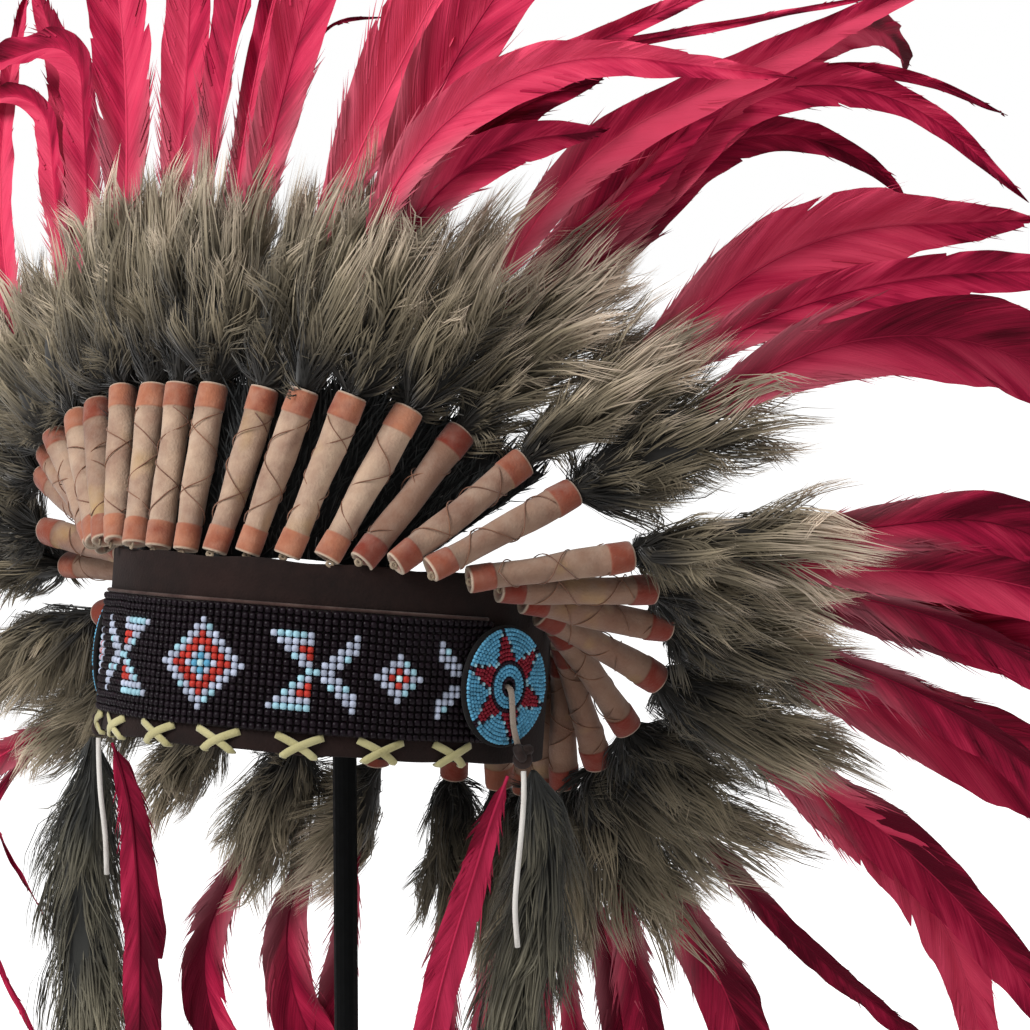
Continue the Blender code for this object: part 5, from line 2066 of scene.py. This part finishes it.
FUR_STRIPS = {
    Side.LEFT: (
        (6, 4, -1, 1.5, 1.5), (25, 7, -8, 9, 6), (50, 8, -12, 13, 8), (80, 3, -13, 17, 10),
        (110, -3, -12, 18, 11), (155, -4, -9, 17, 10), (195, -3, -7, 8, 6),
    ),
    Side.RIGHT: (
        (6, -4, -1, 1.5, 1.5), (31, -7.5, -6, 12, 6), (57, -12.5, -9, 19, 8), (84, -14.5, -10, 21, 10),
        (110, -12.5, -10, 20, 11), (150, -11, -9, 18, 10), (195, -10, -8, 8, 6),
    ),
}
DROP_FEATHERS = {
    Side.LEFT: (
        (6, -5, 1), (26, -12.5, 3), (47, -19, 5), (87, -31, 7), (125, -39, 8), (168, -45.5, 8),
    ),
    Side.RIGHT: (
        (6, 5, 1), (24, 12, 3), (44, 16.5, 5), (80, 19, 6), (125, 18.5, 6), (168, 14.5, 5),
    ),
}
THONGS = {
    Side.LEFT: (
        (6, .3, 1.5), (16, .4, 3.5), (30, -.6, 4.5), (47, -2.2, 4), (60, -3, 4.6), (75, -2, 4.2),
    ),
    Side.RIGHT: (
        (6, -.3, 1.5), (16, .4, 3), (30, 1.2, 3.4), (47, 2, 1.5), (64, 2.2, 1),
    ),
}


@dataclass
class Drops:
    """The knot under a rosette, its strap, and the thong, feather and fur strip that hang from it."""

    rosette: Rosette
    dyed: Material
    fur: Material
    rng: Rng
    knot_back: float
    knot_down: float
    facing: float  # degrees
    thong_length: float
    feather_half_width: float
    feather_tone: float
    knot_depth: float = 7 * MM
    knot_standoff: float = 1.3 * MM
    knot_size: float = 1.15 * MM
    knot_cord: float = 2 * MM
    beaded_thickness: float = 1.6 * MM
    thong_diameter: float = 2.2 * MM
    strap_width: float = 3.4 * MM
    strap_flatness: float = .36
    strap_rise: float = 2.2 * MM

    @property
    def side(self) -> Side:
        """Return the side that the drops hang on."""
        return self.rosette.side

    def knot_centre(self) -> Array:
        """Return the middle of the knot on the stand."""
        centre, axes = self.rosette.axes()
        out = self.rosette.felt_thickness + self.beaded_thickness + self.knot_depth / 2 + self.knot_standoff
        return centre + np.array((self.side.value * self.knot_back, -self.knot_down, out)) @ axes

    def hang(self, table: dict[Side, Sequence[tuple]], spacing: float) -> tuple[Line, list[DropStop]]:
        """Return the line of a hanging thing and its sections.

        Args:
            table: The sections of such a thing, by side.
            spacing: About how far apart the line's points are.

        Returns:
            The line and the sections.
        """
        stops = [DropStop(*row) for row in table[self.side]]
        local = np.array([(stop.across, -stop.down, stop.ahead) for stop in stops]) * MM
        angle = math.radians(self.facing)
        across = np.array((math.cos(angle), math.sin(angle), 0))
        axes = np.array((across, (0, 0, 1), (across[1], -across[0], 0)))
        return Line.carried(smooth_line(self.knot_centre() + local @ axes, spacing), across), stops

    def build_knot(self) -> None:
        """Tie the leather knot."""
        t = np.linspace(0, FULL_TURN, 73)
        trefoil = (np.sin(t) + 2 * np.sin(2 * t), np.cos(t) - 2 * np.cos(2 * t), -1.1 * np.sin(3 * t))
        bundle = Bundle()
        line = self.knot_centre() + np.stack(trefoil, axis=1) * self.knot_size @ self.rosette.axes()[1]
        bundle.tube(line, self.knot_cord, 8)
        word = self.side.word
        leather = Nap(f"knot_leather_{word}", "30201c", "190f0d", .75, 1300, .0003, sheen=.06, dust=.06)
        bundle.build(f"knot_{word}_tie", leather.material(), "knot_leather", f"knot_{word}")

    def build_strap(self) -> None:
        """Lay the pale strap from the rosette's middle to the knot."""
        centre, axes = self.rosette.axes()
        face = self.rosette.felt_thickness + self.strap_rise
        back, down = self.side.value * self.knot_back, self.knot_down
        stops = (
            (0, .4 * MM, -3), (0, -.6 * MM, -.2), (back * .15, -4 * MM, .5), (back * .5, -.55 * down, .5),
            (back * .9, -down + 4 * MM, 1.6), (back, -down, 3),
        )
        local = np.array([(right, up, face + rise * MM) for right, up, rise in stops])
        bundle = Bundle()
        line = smooth_line(centre + local @ axes, 1.2 * MM)
        bundle.tube(line, self.strap_width / 2, 8, self.strap_flatness)
        word = self.side.word
        leather = Nap(f"strap_leather_{word}", "b9aa9b", "8e7d70", .75, 1300, .00025, dust=.2)
        bundle.build(f"knot_{word}_strap", leather.material(), "knot_leather")

    def build_thong(self) -> None:
        """Hang the white thong."""
        word = self.side.word
        line = self.hang(THONGS, 5 * MM)[0].points
        bundle = Bundle()
        bundle.tube(line, self.thong_diameter / 2, 8)
        leather = Nap(f"thong_leather_{word}", "e6e2dc", "bdb6ae", .7, 1500, .00015)
        thong = bundle.build(f"thong_{word}_lace", leather.material(), "thong_leather", f"thong_{word}")
        LOG.info("thong_%s is %.1f mm long", word, line_length(line) / MM)

    def build_feather(self) -> None:
        """Hang the dyed feather."""
        line, _ = self.hang(DROP_FEATHERS, 4 * MM)
        bundle = Bundle()
        sizes = (self.feather_half_width, 4 * MM, line.length - 4 * MM, (0, 8), self.feather_tone, .4)
        Vane(bundle, line, self.rng, *sizes, rows=72, cup=.3, bare=2 * MM).grow()
        word = self.side.word
        bundle.build(f"drop_{word}_feather", self.dyed, "feather", f"drop_feather_{word}")

    def build_fur(self) -> None:
        """Hang the strip of long fur."""
        line, stops = self.hang(FUR_STRIPS, 5 * MM)
        falls = np.array([stop.down - stops[0].down for stop in stops])
        falls = falls / falls[-1] * line.length
        pelt = Pelt(
            locks=190, hairs=22, root_to=.86 * line.length, tip_from=10 * MM, tip_to=line.length,
            shortest=26 * MM, longest=46 * MM, curl=3 * MM,
            half_widths=tuple((fall, 1.1 * MM * stop.half_width) for fall, stop in zip(falls, stops)),
            half_depths=tuple((fall, MM * stop.half_thickness) for fall, stop in zip(falls, stops)),
        )
        bundle = Bundle()
        pelt.fill(bundle, line, .42)
        pelt.grow(bundle, line, self.rng, darkness=.08)
        word = self.side.word
        bundle.build(f"fur_{word}_strip", self.fur, "fur", f"fur_strip_{word}")

    def build(self) -> None:
        """Build everything that hangs from one rosette."""
        self.build_knot()
        self.build_strap()
        self.build_thong()
        self.build_feather()
        self.build_fur()


# ---- stand, floor, light and camera


class Stand:
    """The painted base and post, whose CAD shapes are kept."""

    def build(self) -> None:
        """Paint the stand's nodes."""
        paint = SatinPaint().material()
        for name in ("stand_base", "stand_post"):
            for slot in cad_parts[name].material_slots:
                slot.material = paint
            LOG.info("%s: painted", name)


@dataclass
class Studio:
    """A pale floor, soft light and the camera."""

    azimuth: float = 28
    elevation: float = 7
    distance: float = 1.3
    lens: float = 112.6
    sensor: float = 36
    aim_right: float = 75.6 * MM
    aim_up: float = 61.6 * MM
    lamps: tuple[tuple[str, Triple, float, float], ...] = (  # name, place, size of the square, watts
        ("key", (-.6, -1.35, 1.8), .9, 38), ("rim", (1.2, 1.4, 1.9), 1.2, 8),
    )
    light_aim: Triple = (0, 0, .56)
    ambient: float = .42
    floor_size: float = 12
    floor_drop: float = .0002
    floor_tone: float = .96
    floor_glow: float = .75

    @staticmethod
    def place(name: str, data: bpy.types.ID, location: Sequence[float], looking: Vector) -> bpy.types.Object:
        """Put a lamp or a camera in the scene.

        Args:
            name: Its name.
            data: The lamp or the camera.
            location: Where it stands.
            looking: The way that it points.

        Returns:
            Its object.
        """
        made = bpy.data.objects.new(name, data)
        made.location = location
        made.rotation_mode = "QUATERNION"
        made.rotation_quaternion = looking.to_track_quat("-Z", "Y")
        bpy.context.scene.collection.objects.link(made)
        return made

    def build_floor(self) -> None:
        """Lay the floor."""
        bm = bmesh.new()
        bmesh.ops.create_grid(bm, x_segments=4, y_segments=4, size=self.floor_size)
        bmesh.ops.translate(bm, vec=(0, 0, -self.floor_drop), verts=bm.verts)
        mesh = mesh_of(bm, "floor")
        coat = Coat("floor", .9, 0)
        coat.inputs["Base Color"].default_value = (self.floor_tone,) * 3 + (1,)
        coat.inputs["Emission Color"].default_value = (1, 1, 1, 1)
        seen = coat.node("LightPath").outputs["Is Camera Ray"]
        coat.feed("Emission Strength", coat.sum("MULTIPLY", seen, self.floor_glow))
        mesh.materials.append(coat.material)
        floor = bpy.data.objects.new("floor", mesh)
        bpy.context.scene.collection.objects.link(floor)

    def build_light(self) -> None:
        """Light the object softly from all round and more from the upper front."""
        world = bpy.data.worlds.new("studio")
        world.use_nodes = True
        background = world.node_tree.nodes["Background"]
        graph = Graph(world.node_tree)
        seen = graph.node("LightPath").outputs["Is Camera Ray"]
        graph.tree.links.new(graph.spread(seen, 0, 1, self.ambient, 1), background.inputs["Strength"])
        background.inputs["Color"].default_value = (1, 1, 1, 1)
        bpy.context.scene.world = world
        bpy.context.scene.view_settings.view_transform = "Standard"
        for name, place, size, watts in self.lamps:
            data = bpy.data.lights.new(name, "AREA")
            data.shape, data.size, data.energy = "SQUARE", size, watts
            self.place(name, data, place, Vector(self.light_aim) - Vector(place))

    def build_camera(self) -> None:
        """Stand the camera at the front, towards the wearer's left."""
        a, e = math.radians(self.azimuth), math.radians(self.elevation)
        right = Vector((math.cos(a), math.sin(a), 0))
        back = Vector((math.sin(a) * math.cos(e), -math.cos(a) * math.cos(e), math.sin(e)))
        target = Vector(BAND_CENTRE) + right * self.aim_right + Vector((0, 0, self.aim_up))
        data = bpy.data.cameras.new("camera")
        data.lens, data.sensor_width, data.clip_start = self.lens, self.sensor, .05
        bpy.context.scene.camera = self.place("camera", data, target + back * self.distance, -back)

    def build(self) -> None:
        """Set up the studio."""
        self.build_floor()
        self.build_light()
        self.build_camera()


def main() -> None:
    """Build every sub-assembly in order."""
    logging.basicConfig(level=logging.INFO, format="%(name)s: %(message)s")
    Studio().build()
    oval = HeadOval(half_width=(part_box("headband")[1].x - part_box("headband")[0].x) / 2)
    Headband(oval).build()
    BeadStrip(oval).build()
    ring = QuillRing()
    FurBacking().build()
    QuillWraps(ring).build()
    FurTufts(ring).build()
    Plumage(ring).build()
    rng = seeded(50)
    dyed = DyedFeather("drop_feather", "b82c4e", "8c1434", "4a0518", downiness=0).material()
    fur = Hair("strip_fur", "2c2c29", "77715f", "c4b99e").material()
    for side, *hanging in (
        (Side.LEFT, 5.5 * MM, 26 * MM, 28, .070, 7.2 * MM, .75),
        (Side.RIGHT, 8 * MM, 31 * MM, 10, .058, 9.6 * MM, .3),
    ):
        rosette = Rosette(oval, side)
        rosette.build()
        Drops(rosette, dyed, fur, rng, *hanging).build()
    Stand().build()


if __name__ == "__main__":
    main()
